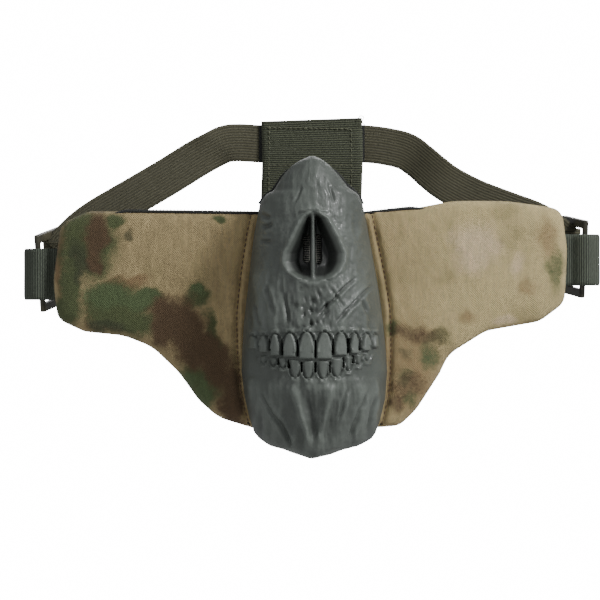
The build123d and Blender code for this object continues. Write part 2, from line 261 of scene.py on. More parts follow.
def camo_surface(settings):
    """The print: soft masks painted on the cloth, broken up by speckle, over a ripstop weave."""
    s = Surface("camo_cloth", rough=0.9, sheen=0.10)
    green, brown, dark = s.channels(s.attribute("print_a", "Color"))
    bright, warm, pale = s.channels(s.attribute("print_b", "Color"))
    x, _, z = s.axes(s.place)
    sway = s.noise(0.08, 2) * (3.0 * MM)
    weave = (x + sway).wave(0.98 * MM) * (z + sway).wave(0.98 * MM)
    speck = s.noise(0.85, 3, 0.7) - 0.5
    drift = s.noise(0.10, 4, 0.6) - 0.5
    slub = s.noise(0.55, 3, 0.6, stretch=(1.0, 1.0, 0.16)) - 0.5
    edge = speck * 0.75 + drift * 0.55 + weave * 0.07 + slub * 0.30

    def mask(value):
        return (value + edge * value.between(0.0, 0.25)).between(0.10, 0.90)

    tan = tuple(settings.tan)
    ground = s.mix((0.5 + drift * 1.5 + slub * 0.8).between(0.15, 0.85), scaled(tan, 0.86),
                   scaled(tan, 1.10))
    # Painted light: the right wing's cloth is lightened towards pale khaki, more so further out, for the light
    # that falls on that side.
    ground = s.mix(x.between(15 * MM, 85 * MM) * 0.80, ground, (0.790, 0.645, 0.320))
    mossy = s.mix((s.noise(0.05, 4, 0.6) + speck * 0.3).between(0.50, 0.74) * 0.46,
                  ground, (0.235, 0.200, 0.088))
    sandy = s.mix(mask(pale) * 0.7, mossy, (1.000, 0.780, 0.540))
    rust = s.mix(mask(warm) * 0.7, sandy, (0.290, 0.165, 0.078))
    leaf = s.mix(mask(green), rust, tuple(settings.green))
    lime = s.mix(mask(bright) * 0.7, leaf, (0.130, 0.185, 0.078))
    bark = s.mix(mask(brown), lime, tuple(settings.brown))
    print_colour = s.mix(mask(dark) * 0.7, bark, (0.062, 0.070, 0.036))
    yarn = s.tint(print_colour, 0.94 + weave * 0.15 + speck * 0.55 + slub * 0.35)
    return s.finish(yarn, 0.86 + weave * 0.05, weave * 0.9 + speck * 0.8 + slub * 0.5, 0.20)


def webbing_surface(name, colour, pitch, across=True, groove_shade=0.28):
    """Webbing whose UV runs in millimetres: U along it, V across it."""
    s = Surface(name, rough=0.62, sheen=0.15)
    u, v, _ = s.axes(s.add("ShaderNodeUVMap", {"uv_map": "UVMap"}, {}))
    along, over = (u, v) if across else (v, u)
    rib = along.wave(pitch) * 0.5 + 0.5
    yarn = (over * (2 * math.pi / 0.62) + (along * (math.pi / pitch)).sine() * 2.2).sine()
    fuzz = s.noise(1.3, 4, 0.6)
    wear = s.noise(0.05, 3)
    # Painted shade darkens the grooves between the ribs, and a painted highlight lightens the rib crests.
    base = s.mix(rib.between(0.05, 0.75), scaled(colour, groove_shade), scaled(colour, 1.22))
    lit = s.mix((rib * fuzz).between(0.42, 0.75) * 0.55 * (1.15 - groove_shade), base,
                scaled(colour, 2.1))
    toned = s.tint(lit, 0.72 + yarn * 0.10 + fuzz * 0.28 + wear * 0.24)
    return s.finish(toned, 0.55 + fuzz * 0.25, yarn * 0.35 + fuzz * 0.9, 0.14)


def foam_surface():
    s = Surface("foam_black", rough=0.95)
    cells = s.cells(1.4)
    return s.finish(s.mix(cells.between(0.1, 0.6), (0.010, 0.010, 0.010), (0.038, 0.038, 0.036)),
                    None, cells, 0.25)


def lining_surface():
    """Black spacer mesh: rows of small holes in a knitted face."""
    s = Surface("lining_mesh", rough=0.85, sheen=0.06)
    x, _, z = s.axes(s.place)
    step = 1.35 * MM
    column = (x * (2 * math.pi / step) + (z * (math.pi / step)).sine() * 1.2).sine()
    hole = (z.wave(step) * column).between(0.25, 0.7)
    fuzz = s.noise(1.1, 3)
    knit = s.mix(fuzz, (0.022, 0.023, 0.022), (0.060, 0.062, 0.058))
    return s.finish(s.mix(hole, knit, (0.004, 0.004, 0.004)), None, 1.0 - hole + fuzz * 0.4, 0.35)


def thread_surface(name, colour):
    s = Surface(name, rough=0.6, sheen=0.2)
    twist = s.noise(3.0, 2)
    return s.finish(s.mix(twist, scaled(colour, 0.55), scaled(colour, 1.6)), None, twist, 0.08)


def buckle_surface():
    s = Surface("buckle_acetal", coat=0.08)
    grain = s.noise(1.4, 4)
    cloud = s.noise(0.09, 3)
    scuff = s.noise(0.5, 4, 0.7, stretch=(1.0, 1.0, 0.2)).between(0.58, 0.72)
    body = s.mix(cloud.between(0.35, 0.65), (0.052, 0.050, 0.036), (0.098, 0.090, 0.056))
    return s.finish(s.mix(scuff * 0.45, body, (0.185, 0.178, 0.140)),
                    0.36 + grain * 0.22, grain, 0.06)


def screen_surface():
    s = Surface("vent_screen", rough=0.8)
    x, _, z = s.axes(s.place)
    weave = (x.wave(0.9 * MM) + z.wave(0.9 * MM)).between(0.1, 1.2)
    return s.finish(s.mix(weave, (0.004, 0.004, 0.004), (0.070, 0.072, 0.066)), None, weave, 0.2)


MATERIALS = {}


def make_materials():
    """Every surface, with the colours of the settings."""
    scene = bpy.context.scene
    straps, cloth = scene.mask_straps, scene.mask_cloth
    MATERIALS.update(
        plate=plate_surface(tuple(scene.mask_plate.colour)),
        camo=camo_surface(cloth),
        pad=webbing_surface("pad_webbing", tuple(straps.webbing), straps.rib_pitch / MM),
        tab=webbing_surface("tab_webbing", tuple(straps.tab), straps.rib_pitch / MM),
        elastic=webbing_surface("elastic_band", tuple(straps.elastic),
                                ELASTIC_WIDTH / straps.elastic_ribs, across=False, groove_shade=0.70),
        foam=foam_surface(),
        lining=lining_surface(),
        seam_thread=thread_surface("seam_thread", (0.12, 0.062, 0.030)),
        olive_thread=thread_surface("olive_thread", (0.135, 0.140, 0.085)),
        black_thread=thread_surface("overlock_thread", (0.030, 0.028, 0.022)),
        wire=thread_surface("screen_wire", (0.17, 0.17, 0.145)),
        buckle=buckle_surface(),
        screen=screen_surface(),
    )


# ---- mesh helpers -------------------------------------------------------------------------------
def add_object(name, data):
    """A new object in the scene."""
    thing = bpy.data.objects.new(name, data)
    bpy.context.collection.objects.link(thing)
    return thing


def new_piece(name, points_mm, faces, material, uv_mm=None):
    """A mesh object from points in millimetres. uv_mm gives one UV for each point."""
    mesh = bpy.data.meshes.new(name)
    mesh.from_pydata([tuple(c * MM for c in p) for p in points_mm], [], faces)
    mesh.materials.append(MATERIALS[material])
    if uv_mm is not None:
        layer = mesh.uv_layers.new(name="UVMap")
        for loop in mesh.loops:
            layer.data[loop.index].uv = uv_mm[loop.vertex_index]
    piece = add_object(name, mesh)
    smooth(piece)
    return piece


def paint(piece, name, values):
    """One number or colour for each vertex."""
    if isinstance(values[0], (tuple, list)):
        layer = piece.data.attributes.new(name, "FLOAT_COLOR", "POINT")
        layer.data.foreach_set("color", [c for v in values for c in (*v, 1.0)])
    else:
        layer = piece.data.attributes.new(name, "FLOAT", "POINT")
        layer.data.foreach_set("value", values)


def apply_modifiers(piece):
    """The evaluated mesh becomes the piece's own mesh."""
    depsgraph = bpy.context.evaluated_depsgraph_get()
    mesh = bpy.data.meshes.new_from_object(piece.evaluated_get(depsgraph), depsgraph=depsgraph)
    piece.modifiers.clear()
    piece.data = mesh
    return piece


def smooth(piece):
    piece.data.polygons.foreach_set("use_smooth", [True] * len(piece.data.polygons))


def cleaned(piece, merge=0.0, drop_loose=False, turn_out=True):
    """The piece with near points merged, loose ones dropped or its faces turned outwards."""
    mesh = bmesh.new()
    mesh.from_mesh(piece.data)
    if merge:
        bmesh.ops.remove_doubles(mesh, verts=mesh.verts, dist=merge)
    if drop_loose:
        loose = [v for v in mesh.verts if not v.link_faces]
        bmesh.ops.delete(mesh, geom=loose, context="VERTS")
    if turn_out:
        bmesh.ops.recalc_face_normals(mesh, faces=mesh.faces)
    mesh.to_mesh(piece.data)
    mesh.free()
    return piece


def settle(piece, body, slot, *nodes):
    """Hangs a piece on what carries it and hides the CAD nodes it stands for. The slot is not used."""
    if body:
        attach(piece, body)
    if nodes:
        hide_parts(*nodes)


def grid_faces(rows, wide, around=False, closed=False):
    """Quads of a grid: around joins the ends of each row, closed joins the last row to the first."""
    faces = []
    for j in range(rows if closed else rows - 1):
        for i in range(wide if around else wide - 1):
            here, above, k = j * wide, (j + 1) % rows * wide, (i + 1) % wide
            faces.append((here + i, here + k, above + k, above + i))
    return faces


def face_edges(faces):
    """Each face's edges in its own direction, in order and without doubles."""
    return dict.fromkeys((a, b) for face in faces for a, b in zip(face, face[1:] + face[:1]))


def smooth_path(points, step):
    """A Catmull-Rom curve through given points, sampled evenly."""
    points = np.array(points, float)
    padded = np.vstack([2 * points[0] - points[1], points, 2 * points[-1] - points[-2]])
    dense = []
    for a, b, c, d in zip(padded, padded[1:], padded[2:], padded[3:]):
        for t in np.linspace(0, 1, 24, endpoint=False):
            dense.append(0.5 * (2 * b + (c - a) * t + (2 * a - 5 * b + 4 * c - d) * t * t
                                + (3 * b - 3 * c + d - a) * t ** 3))
    dense.append(points[-1])
    return resample(np.array(dense), step)


def resample(dense, step):
    """Points at even steps along a dense path."""
    lengths = np.r_[0, np.cumsum(np.linalg.norm(np.diff(dense, axis=0), axis=1))]
    count = max(int(round(lengths[-1] / step)), 2)
    even = np.linspace(0, lengths[-1], count + 1)
    return np.stack([np.interp(even, lengths, dense[:, k]) for k in range(dense.shape[1])], 1)


def rounded_outline(corners, arc_points=7):
    """A closed outline from (x, z, corner radius)."""
    outline = []
    count = len(corners)
    for i, (x, z, radius) in enumerate(corners):
        here = np.array((x, z))
        before = np.array(corners[i - 1][:2]) - here
        after = np.array(corners[(i + 1) % count][:2]) - here
        if not radius:
            outline.append(here)
            continue
        a, b = before / np.linalg.norm(before), after / np.linalg.norm(after)
        half = math.acos(max(-1, min(1, float(a @ b)))) / 2
        reach = min(radius / math.tan(half), 0.48 * np.linalg.norm(before),
                    0.48 * np.linalg.norm(after))
        for t in np.linspace(0, 1, arc_points):
            outline.append(here + a * reach * (1 - t) ** 2 + b * reach * t ** 2)
    return np.array(outline)


def outline_distance(points, outline):
    """Distance to a closed outline, positive inside, and the nearest point on it."""
    start, end = outline, np.roll(outline, -1, axis=0)
    edge = end - start
    length = (edge ** 2).sum(1)
    keep = length > 1e-9
    start, end, edge, length = start[keep], end[keep], edge[keep], length[keep]
    offset = points[:, None, :] - start[None]
    t = np.clip((offset * edge[None]).sum(2) / length[None], 0, 1)
    near = start[None] + t[..., None] * edge[None]
    gap = np.linalg.norm(points[:, None, :] - near, axis=2)
    pick = gap.argmin(1)
    rows = np.arange(len(points))
    x, z = points[:, 0:1], points[:, 1:2]
    crosses = ((start[:, 1] > z) != (end[:, 1] > z)) & (
        x < edge[:, 0] * (z - start[:, 1]) / np.where(edge[:, 1] == 0, 1e-9, edge[:, 1])
        + start[:, 0])
    inside = crosses.sum(1) % 2 == 1
    return np.where(inside, 1, -1) * gap[rows, pick], near[rows, pick]


def cloth_grid(outline, spacing, from_x):
    """Quads that fill an outline, with their edge on it: points (x, z), faces, edge distance.

    from_x leaves out what is nearer to the middle than that."""
    low, high = outline.min(0) - spacing, outline.max(0) + spacing
    xs = np.arange(low[0], high[0] + spacing, spacing)
    zs = np.arange(low[1], high[1] + spacing, spacing)
    flat = np.array([(x, z) for z in zs for x in xs])
    distance, near = outline_distance(flat, outline)
    use = distance > -0.45 * spacing
    faces = [quad for quad in grid_faces(len(zs), len(xs)) if use[list(quad)].all()]
    edges = face_edges(faces)
    for a, b in edges:
        if (b, a) not in edges:
            for index in (a, b):
                flat[index] = near[index]
                distance[index] = 0.0
    faces = [face for face in faces if abs(flat[list(face), 0]).min() >= from_x]
    used = sorted({q for face in faces for q in face})
    place = {old: new for new, old in enumerate(used)}
    faces = [tuple(place[q] for q in face) for face in faces]
    return flat[used], faces, np.maximum(distance[used], 0.0)


# ---- the skull plate ----------------------------------------------------------------------------
# Height, left and right edge of the plate, rim depth and front depth, in millimetres.
PLATE_ROWS = [
    (68.2, -1.2, 1.2, 16.0, 19.5), (66.3, -6.0, 5.4, 15.0, 22.6), (63.6, -10.1, 8.8, 13.4, 24.8),
    (58.6, -14.4, 13.4, 10.2, 27.4), (54.0, -17.4, 17.0, 7.6, 29.2),
    (52.3, -18.6, 19.6, 6.6, 29.8), (50.4, -22.1, 22.2, 5.6, 30.3), (46.3, -25.0, 24.0, 3.6, 31.4),
    (40.8, -25.9, 25.3, 1.6, 32.8), (32.2, -27.6, 27.0, 0.2, 34.3), (19.0, -29.3, 29.4, 0, 36.2),
    (4.0, -30.9, 32.0, 0, 38.0), (-11.0, -32.6, 34.1, 0, 39.8), (-24.0, -33.5, 35.4, 0, 40.8),
    (-34.0, -33.8, 36.0, 0, 41.0), (-46.0, -32.4, 35.2, 0, 40.0), (-56.0, -30.0, 33.0, 0, 38.3),
    (-63.4, -27.8, 30.5, 0, 36.2), (-66.5, -25.2, 28.4, 0.8, 35.2), (-69.5, -20.6, 22.6, 2.6, 34.0),
    (-71.4, -13.0, 14.2, 5.2, 33.0), (-73.2, -7.6, 8.4, 8.5, 31.8), (-74.6, -1.6, 1.6, 13.0, 30.0),
]
PLATE_TOP, PLATE_FOOT = PLATE_ROWS[0][0], PLATE_ROWS[-1][0]
# Upper and lower teeth: middle, half width, top and bottom.
UPPER_TEETH = [
    (-27.9, 2.7, -16.8, -23.4), (-22.7, 2.1, -16.4, -24.8), (-17.3, 2.4, -15.8, -26.4),
    (-10.5, 3.3, -15.4, -26.9), (-2.65, 3.8, -14.8, -27.8), (5.5, 3.8, -15.0, -27.8),
    (13.2, 3.1, -15.2, -26.2), (19.6, 2.1, -15.4, -25.4), (25.3, 2.05, -15.8, -24.2),
    (29.6, 1.6, -16.2, -22.8),
]
LOWER_TEETH = [
    (-23.0, 1.6, -26.0, -29.6), (-18.2, 1.6, -26.6, -30.6), (-13.9, 1.75, -26.6, -31.6),
    (-8.2, 2.4, -27.6, -36.0), (-2.05, 2.3, -28.2, -36.6), (5.0, 2.4, -28.2, -36.6),
    (11.5, 2.4, -27.0, -36.0), (17.0, 1.5, -26.0, -33.2), (21.8, 1.4, -25.2, -30.4),
    (26.0, 1.4, -24.6, -28.6),
]
# Open gaps between the teeth: middle, half width, top and bottom.
TOOTH_GAPS = [
    (-20.2, 0.40, -18.2, -24.0), (-14.4, 0.50, -18.0, -26.0), (-7.0, 0.42, -18.2, -26.6),
    (1.45, 0.42, -18.6, -27.2), (9.7, 0.48, -18.0, -25.8), (17.0, 0.80, -17.6, -25.2),
    (22.6, 0.60, -17.8, -24.0), (-11.3, 0.50, -27.8, -32.2), (-5.15, 0.50, -28.8, -34.0),
    (1.4, 0.62, -28.8, -34.2), (8.3, 0.50, -28.6, -34.2), (14.7, 0.48, -26.8, -32.0),
    (19.5, 0.60, -25.8, -30.0), (-16.1, 0.40, -27.2, -30.6),
]
NOSTRILS = [(-3.6, 2.35, 17.2, 31.0), (4.0, 2.2, 16.8, 31.2)]
HOLES = TOOTH_GAPS + NOSTRILS
# How far outside and inside a slot's edge the plate's points are drawn to it.
HOLE_REACH = (0.34, 0.22)
# Cracks: start, end, half width and depth.
CRACKS = [
    ((20.0, 11.4), (1.6, -8.0), 0.65, 2.2), ((29.0, 8.0), (10.0, -11.0), 0.65, 2.1),
    ((22.3, 1.0), (25.4, -5.8), 0.8, 0.9), ((8.0, 6.0), (14.5, -3.0), 0.6, 0.7),
    ((-17.8, -52.8), (-9.1, -69.6), 0.9, 1.3), ((-24.0, -44.0), (-15.0, -60.0), 0.8, 1.0),
    ((26.0, -42.0), (17.0, -66.0), 0.9, 1.2), ((31.0, -44.0), (25.0, -62.0), 0.8, 1.0),
    ((-24.0, 40.5), (-19.0, 38.6), 1.0, 1.1), ((-23.5, 34.5), (-18.0, 35.4), 1.0, 1.1),
    ((-24.5, 28.0), (-19.0, 27.4), 0.9, 0.9), ((-21.5, 8.0), (-17.0, -8.0), 0.8, 1.1),
    ((-13.5, 5.0), (-11.0, -11.0), 0.8, 1.1), ((-26.5, -2.0), (-24.0, -13.0), 0.8, 0.9),
    ((16.0, -41.0), (12.0, -58.0), 0.8, 1.0), ((-4.0, 54.0), (-9.0, 44.0), 0.6, 0.5),
    ((7.0, 56.0), (10.5, 46.0), 0.6, 0.5),
]
# The nose opening: height and half widths to its left and right.
NOSE_ROWS = [(41.6, 0.2, 0.4), (38.5, 4.2, 5.2), (34.6, 6.4, 7.3), (28.0, 9.3, 10.8),
             (22.0, 12.2, 13.3), (17.8, 12.6, 12.9), (13.4, 10.4, 10.8), (10.2, 6.2, 7.0),
             (8.9, 0.3, 0.5)]
NOSE_TOP, NOSE_FOOT = NOSE_ROWS[0][0], NOSE_ROWS[-1][0]


def interpolated(rows, z, column):
    """A column of a table whose first column falls."""
    heights = [-row[0] for row in rows]
    return float(np.interp(-z, heights, [row[column] for row in rows]))


def ease(value, low, high):
    """0 below low, 1 above high, smooth between."""
    t = max(0.0, min(1.0, (value - low) / (high - low)))
    return t * t * (3 - 2 * t)


def bell(value, width):
    """1 at zero, falling off both ways."""
    return math.exp(-(value / width) ** 2)


def wander(x, y, z):
    """Smooth noise, about -1 to 1."""
    return noise.noise(Vector((x, y, z)))


def slot_offset(x, z, slot):
    """From the core of a slot with round ends to a place."""
    middle, half, a, b = slot
    low, high = min(a, b) + half, max(a, b) - half
    return x - middle, z - max(low, min(high, z))


def slot_distance(x, z, slot):
    """Distance inside a slot, positive inside."""
    return slot[1] - math.hypot(*slot_offset(x, z, slot))


def segment_distance(x, z, start, end):
    """Distance to a straight line, and how far along it the nearest point is."""
    dx, dz = end[0] - start[0], end[1] - start[1]
    t = max(0.0, min(1.0, ((x - start[0]) * dx + (z - start[1]) * dz) / (dx * dx + dz * dz)))
    return math.hypot(x - start[0] - t * dx, z - start[1] - t * dz), t


def ridged(x, z, seed):
    """Noise with sharp crests, from -1 to 1."""
    return 1 - 2 * abs(wander(x, seed * 7.3, z))


def nose_distance(x, z):
    """Distance inside the nose opening, positive inside."""
    if not NOSE_FOOT < z < NOSE_TOP:
        return -min(abs(z - NOSE_FOOT), abs(z - NOSE_TOP)) - max(0.0, abs(x) - 2.0) * 0.6
    half = interpolated(NOSE_ROWS, z, 1 if x < 0.4 else 2)
    return min(half - abs(x - 0.4), (NOSE_TOP - z) * 0.75 + 0.2, (z - NOSE_FOOT) * 1.1 + 0.2)


def teeth_relief(x, z):
    """The two rows of teeth in their shallow band, and the gums round them."""
    if not -42 < z < -6:
        return 0.0
    fade = 1 - ease(abs(x - 1), 28, 33)
    band = ease(z, -38.5, -34.0) * (1 - ease(z, -17.5, -14.0))
    height = -0.7 * band
    for teeth, proud in ((UPPER_TEETH, 1.5), (LOWER_TEETH, 0.75)):
        for middle, half, top, bottom in teeth:
            if abs(x - middle) > half + 2.5:
                continue
            tip, root = (bottom, top) if proud > 1 else (top, bottom)
            tall = abs(root - tip)
            up = (z - tip) / (root - tip)
            across = abs(x - middle) / half
            width = max(0.0, 1 - max(0.0, min(1.0, up)) ** 2.8) ** 0.45
            inside = min((width - across) * half, up * tall, (1 - up) * tall + 0.2)
            height += (proud + 0.35 * (1 - min(1.0, across) ** 2)) * ease(inside, -0.1, 0.75)
            if up > 0.25:
                height -= 0.55 * bell(inside + 0.25, 0.38)
                height += 0.75 * bell(inside + 1.25, 0.6)
            above = (up - 1) * tall
            if 0 < above < 9:
                height += 0.9 * bell(x - middle, half * 0.75) * (1 - above / 9) ** 1.2
    return height * fade


def plate_relief(x, z, side):
    """Sculpted height over the smooth plate. side is 0 on the front and 1 at the rim."""
    height = teeth_relief(x, z)
    # Furrows down the cheeks and the chin, and fainter ones over the brow.
    cheek = ease(z, -16, -9) * (1 - ease(z, 8, 20)) * ease(abs(x), 3, 8)
    chin = 1 - ease(z, -42, -36)
    sway = 2.6 * wander(x * 0.05, 3.1, z * 0.045)
    furrow = ridged((x + sway) * 0.16, z * 0.022, 1)
    small = ridged((x + sway) * 0.42, z * 0.07, 2)
    left = 1.0 - 0.65 * ease(x, -1, 7)
    height += (0.95 * furrow + 0.42 * small) * (0.20 + 1.00 * cheek * left + 0.80 * chin)
    upper = ease(z, 14, 30)
    height += upper * (0.30 * ridged(x * 0.10, z * 0.05, 3) + 0.10 * small)
    # Fine grain, calmer round the teeth, and pits between the nose and the mouth.
    mouth = 1 - 0.75 * ease(z, -37, -35) * (1 - ease(z, -16, -14))
    height += 0.26 * mouth * noise.fractal(Vector((x * 0.38, 1.7, z * 0.38)), 0.9, 2.1, 4)
    height += 0.13 * mouth * wander(x * 1.2, 9.1, z * 1.2)
    height += 0.22 * upper * ridged(x * 0.06 + z * 0.02, z * 0.34, 6) * (1 - ease(x, -8, 4))
    pitted = bell(x + 1.0, 7.5) * ease(z, -15, -11) * (1 - ease(z, 3, 9))
    height -= 3.4 * pitted * max(0.0, wander(x * 0.50, 5.5, z * 0.36) - 0.05)
    # Cracks, each with a raised lip.
    for start, end, half, depth in CRACKS:
        if abs(z - (start[1] + end[1]) / 2) > abs(start[1] - end[1]) / 2 + 4:
            continue
        bend = 0.7 * wander(x * 0.16, z * 0.16, start[0])
        gap, t = segment_distance(x + bend, z - bend, start, end)
        taper = ease(min(t, 1 - t), -0.02, 0.22)
        height -= depth * taper * bell(gap, half)
        height += 0.40 * depth * taper * bell(gap - 2.1 * half, half)
    # The chin's hollow and the folds beside it.
    hollow = bell(x - 1.0 + 0.10 * (z + 52), 9.5)
    height -= 2.3 * hollow * ease(-z, 40, 50) * (1 - ease(-z, 60, 71))
    for middle, lean in ((-9.0, 0.32), (8.5, -0.22)):
        fold = x - middle + lean * (z + 42)
        height += 2.1 * bell(fold, 2.2) * ease(-z, 38, 44) * (1 - ease(-z, 64, 72))
    # The nose opening: a raised rim, a bowl and the wall in its middle.
    inside = nose_distance(x, z)
    if inside > -5:
        height *= 1 - ease(inside, -1.5, 1.0)
        height += 1.15 * bell(inside + 1.3, 1.25)
        bowl = ease(inside, -0.3, 4.2)
        septum = math.exp(-(((x - 0.2) / (2.0 - 0.5 * ease(z, 22, 34))) ** 2) ** 1.5)
        septum = max(septum, 0.75 * (1 - ease(z, 10.5, 17.0)))
        height -= 7.2 * bowl * (1 - 0.93 * septum)
    height -= 0.9 * bell(z - 52.5, 3.0) * ease(abs(x), 13, 19)
    # The relief calms towards the rim.
    return height * (0.15 + 0.85 * (1 - ease(side, 0.86, 1.0)))


def plate_profile(x, z):
    """Y of the smooth plate, the way out of its surface, and how far round to the rim it is."""
    left, right, rim, front = (interpolated(PLATE_ROWS, z, k) for k in (1, 2, 3, 4))
    middle, half, depth = (left + right) / 2, (right - left) / 2, front - rim
    sine = max(-1.0, min(1.0, (x - middle) / half))
    cosine = math.sqrt(1 - sine * sine)
    normal = Vector((sine / half, -(cosine + 0.12) / depth)).normalized()
    return -rim - depth * cosine ** 0.92, normal, abs(sine) if half > 2 else 0.0


def stations(low, high, coarse, fine_bands):
    """Positions from low to high, closer together inside each (start, end, step) band."""
    found, at = [low], low
    while at < high:
        step = min([s for a, b, s in fine_bands if a <= at <= b] + [coarse])
        at = min(at + step, high)
        found.append(at)
    return found


def near_holes(x, z):
    """Whether a place is in the part of the plate that has openings."""
    return abs(x) < 30 and -38 < z < 34


def drawn_to_edge(x, z):
    """A place close to a slot's edge moves onto it."""
    outside, inside = HOLE_REACH
    for slot in HOLES if near_holes(x, z) else []:
        gap = slot_distance(x, z, slot)
        if -outside < gap < inside:
            across, up = slot_offset(x, z, slot)
            share = gap / math.hypot(across, up)
            x += across * share
            z += up * share
    return x, z


def make_skull_plate():
    """The moulding: a sculpted front, an inner wall that follows it, and open slots."""
    settings = bpy.context.scene.mask_plate
    wall = settings.wall / MM
    heights = stations(PLATE_FOOT, PLATE_TOP, 0.85, [
        (-38, -12.5, 0.42), (8, 42.5, 0.55), (PLATE_FOOT, -70, 0.5), (64, PLATE_TOP, 0.45)])[::-1]
    turns = stations(-1.0, 1.0, 0.026, [(-0.50, 0.50, 0.0088), (-0.62, 0.62, 0.013)])
    outer, inner, relief, opened = [], [], [], []
    for row in heights:
        left, right = (interpolated(PLATE_ROWS, row, k) for k in (1, 2))
        middle, half = (left + right) / 2, (right - left) / 2
        taper = min(1.0, half / 9)
        for turn in turns:
            x, z = drawn_to_edge(middle + half * math.sin(turn * math.pi / 2), row)
            y, out, side = plate_profile(x, row)
            raised = plate_relief(x, z, side) * settings.relief
            outer.append((x + out.x * raised, y + out.y * raised, z))
            thick = (wall - min(0.0, raised + 0.6)) * taper
            inner.append((x - out.x * thick, y - out.y * thick, z * (1 - 0.012 * taper)))
            relief.append(0.5 + raised / 5)
            opened.append(max(slot_distance(x, z, slot) for slot in HOLES)
                          if near_holes(x, z) else -9)
    front = [(a, d, c, b) for a, b, c, d in grid_faces(len(heights), len(turns))
             if (opened[a] + opened[b] + opened[c] + opened[d]) / 4 < 0.02]
    count = len(outer)
    edges = face_edges(front)
    shell = front + [tuple(q + count for q in reversed(face)) for face in front]
    shell += [(b, a, a + count, b + count) for a, b in edges if (b, a) not in edges]
    piece = new_piece("skull_plate_moulding", outer + inner, shell, "plate")
    paint(piece, "relief", relief + [0.45] * count)
    settle(cleaned(piece, drop_loose=True, turn_out=False), "face_plate", "plate", "skull_plate")


# ---- threads and wires, by geometry nodes -------------------------------------------------------
def stitch_tree():
    """Short threads laid along a path, with named inputs for their sizes."""
    tree = bpy.data.node_groups.new("StitchRun", "GeometryNodeTree")
    face = tree.interface
    face.new_socket("Geometry", in_out="INPUT", socket_type="NodeSocketGeometry")
    for label, default in (("Pitch", 2.4 * MM), ("Length", 1.9 * MM), ("Thickness", 0.5 * MM),
                           ("Slant", 0.0), ("Wander", 0.06)):
        socket = face.new_socket(label, in_out="INPUT", socket_type="NodeSocketFloat")
        socket.default_value = default
    face.new_socket("Thread", in_out="INPUT", socket_type="NodeSocketMaterial")
    face.new_socket("Geometry", in_out="OUTPUT", socket_type="NodeSocketGeometry")

    def add(kind, sockets, out=0, **settings):
        return add_node(tree, kind, settings, sockets).outputs[out]

    given = tree.nodes.new("NodeGroupInput").outputs
    curve = add("GeometryNodeMeshToCurve", {"Mesh": given["Geometry"]})
    spaced = add("GeometryNodeResampleCurve", {"Curve": curve, "Length": given["Pitch"]},
                 mode="LENGTH")
    thread = add("GeometryNodeMeshUVSphere", {"Segments": 6, "Rings": 5, "Radius": 0.5})
    sizes = add("ShaderNodeCombineXYZ", {"X": given["Length"], "Y": given["Thickness"],
                                         "Z": given["Thickness"]})
    shaped = add("GeometryNodeTransform", {"Geometry": thread, "Scale": sizes})
    ahead = add("FunctionNodeAlignRotationToVector",
                {"Vector": add("GeometryNodeInputTangent", {})}, axis="X")
    chance = add("FunctionNodeRandomValue", {"Min": -1.0, "Max": 1.0, "Seed": 11}, 1,
                 data_type="FLOAT")
    wandered = add("ShaderNodeMath", {0: chance, 1: given["Wander"]}, operation="MULTIPLY")
    lean = add("ShaderNodeMath", {0: wandered, 1: given["Slant"]}, operation="ADD")
    turn = add("FunctionNodeEulerToRotation", {0: add("ShaderNodeCombineXYZ", {"Y": lean})})
    slanted = add("FunctionNodeRotateRotation", {0: ahead, 1: turn}, rotation_space="GLOBAL")
    placed = add("GeometryNodeInstanceOnPoints", {"Points": spaced, "Instance": shaped,
                                                  "Rotation": slanted})
    real = add("GeometryNodeRealizeInstances", {"Geometry": placed})
    add_node(tree, "NodeGroupOutput", {}, {0: add("GeometryNodeSetMaterial", {
        "Geometry": real, "Material": given["Thread"]})})
    return tree


def stitch_run(name, paths_mm, material, pitch=2.4, length=1.9, thick=0.5, slant=0.0, wander=0.06):
    """Threads along one or more paths, as one plain mesh."""
    tree = bpy.data.node_groups.get("StitchRun") or stitch_tree()
    points, edges = [], []
    for path in paths_mm:
        start = len(points)
        points += [tuple(float(c) * MM for c in p) for p in path]
        edges += [(start + i, start + i + 1) for i in range(len(path) - 1)]
    mesh = bpy.data.meshes.new(name)
    mesh.from_pydata(points, edges, [])
    piece = add_object(name, mesh)
    modifier = piece.modifiers.new("Stitches", "NODES")
    modifier.node_group = tree
    ids = {item.name: item.identifier for item in tree.interface.items_tree
           if item.in_out == "INPUT"}
    for label, value in (("Pitch", pitch * MM), ("Length", length * MM),
                         ("Thickness", thick * MM), ("Slant", slant), ("Wander", wander),
                         ("Thread", MATERIALS[material])):
        modifier[ids[label]] = value
    apply_modifiers(piece)
    smooth(piece)
    return piece


# ---- inside the plate ---------------------------------------------------------------------------
def rim_path(inset, back, top, top_inset=None):
    """Round the inside of the plate's rim, inset from its edge, in order and closed.

    With a top_inset the path's top runs flat behind the plate, that far from its edge."""
    left, right = [], []
    for z in np.linspace(top, -66.0, 44):
        a, b, rim = (interpolated(PLATE_ROWS, z, k) for k in (1, 2, 3))
        share = 0.0 if top_inset is None else ease(z, 40.0, 44.5)
        far = inset + ((top_inset or 0.0) - inset) * share
        y = -rim + back * (1 - share) + 1.6 * share
        left.append(Vector((a + far, y, z)))
        right.append(Vector((b - far, y, z)))
    return left + right[::-1]


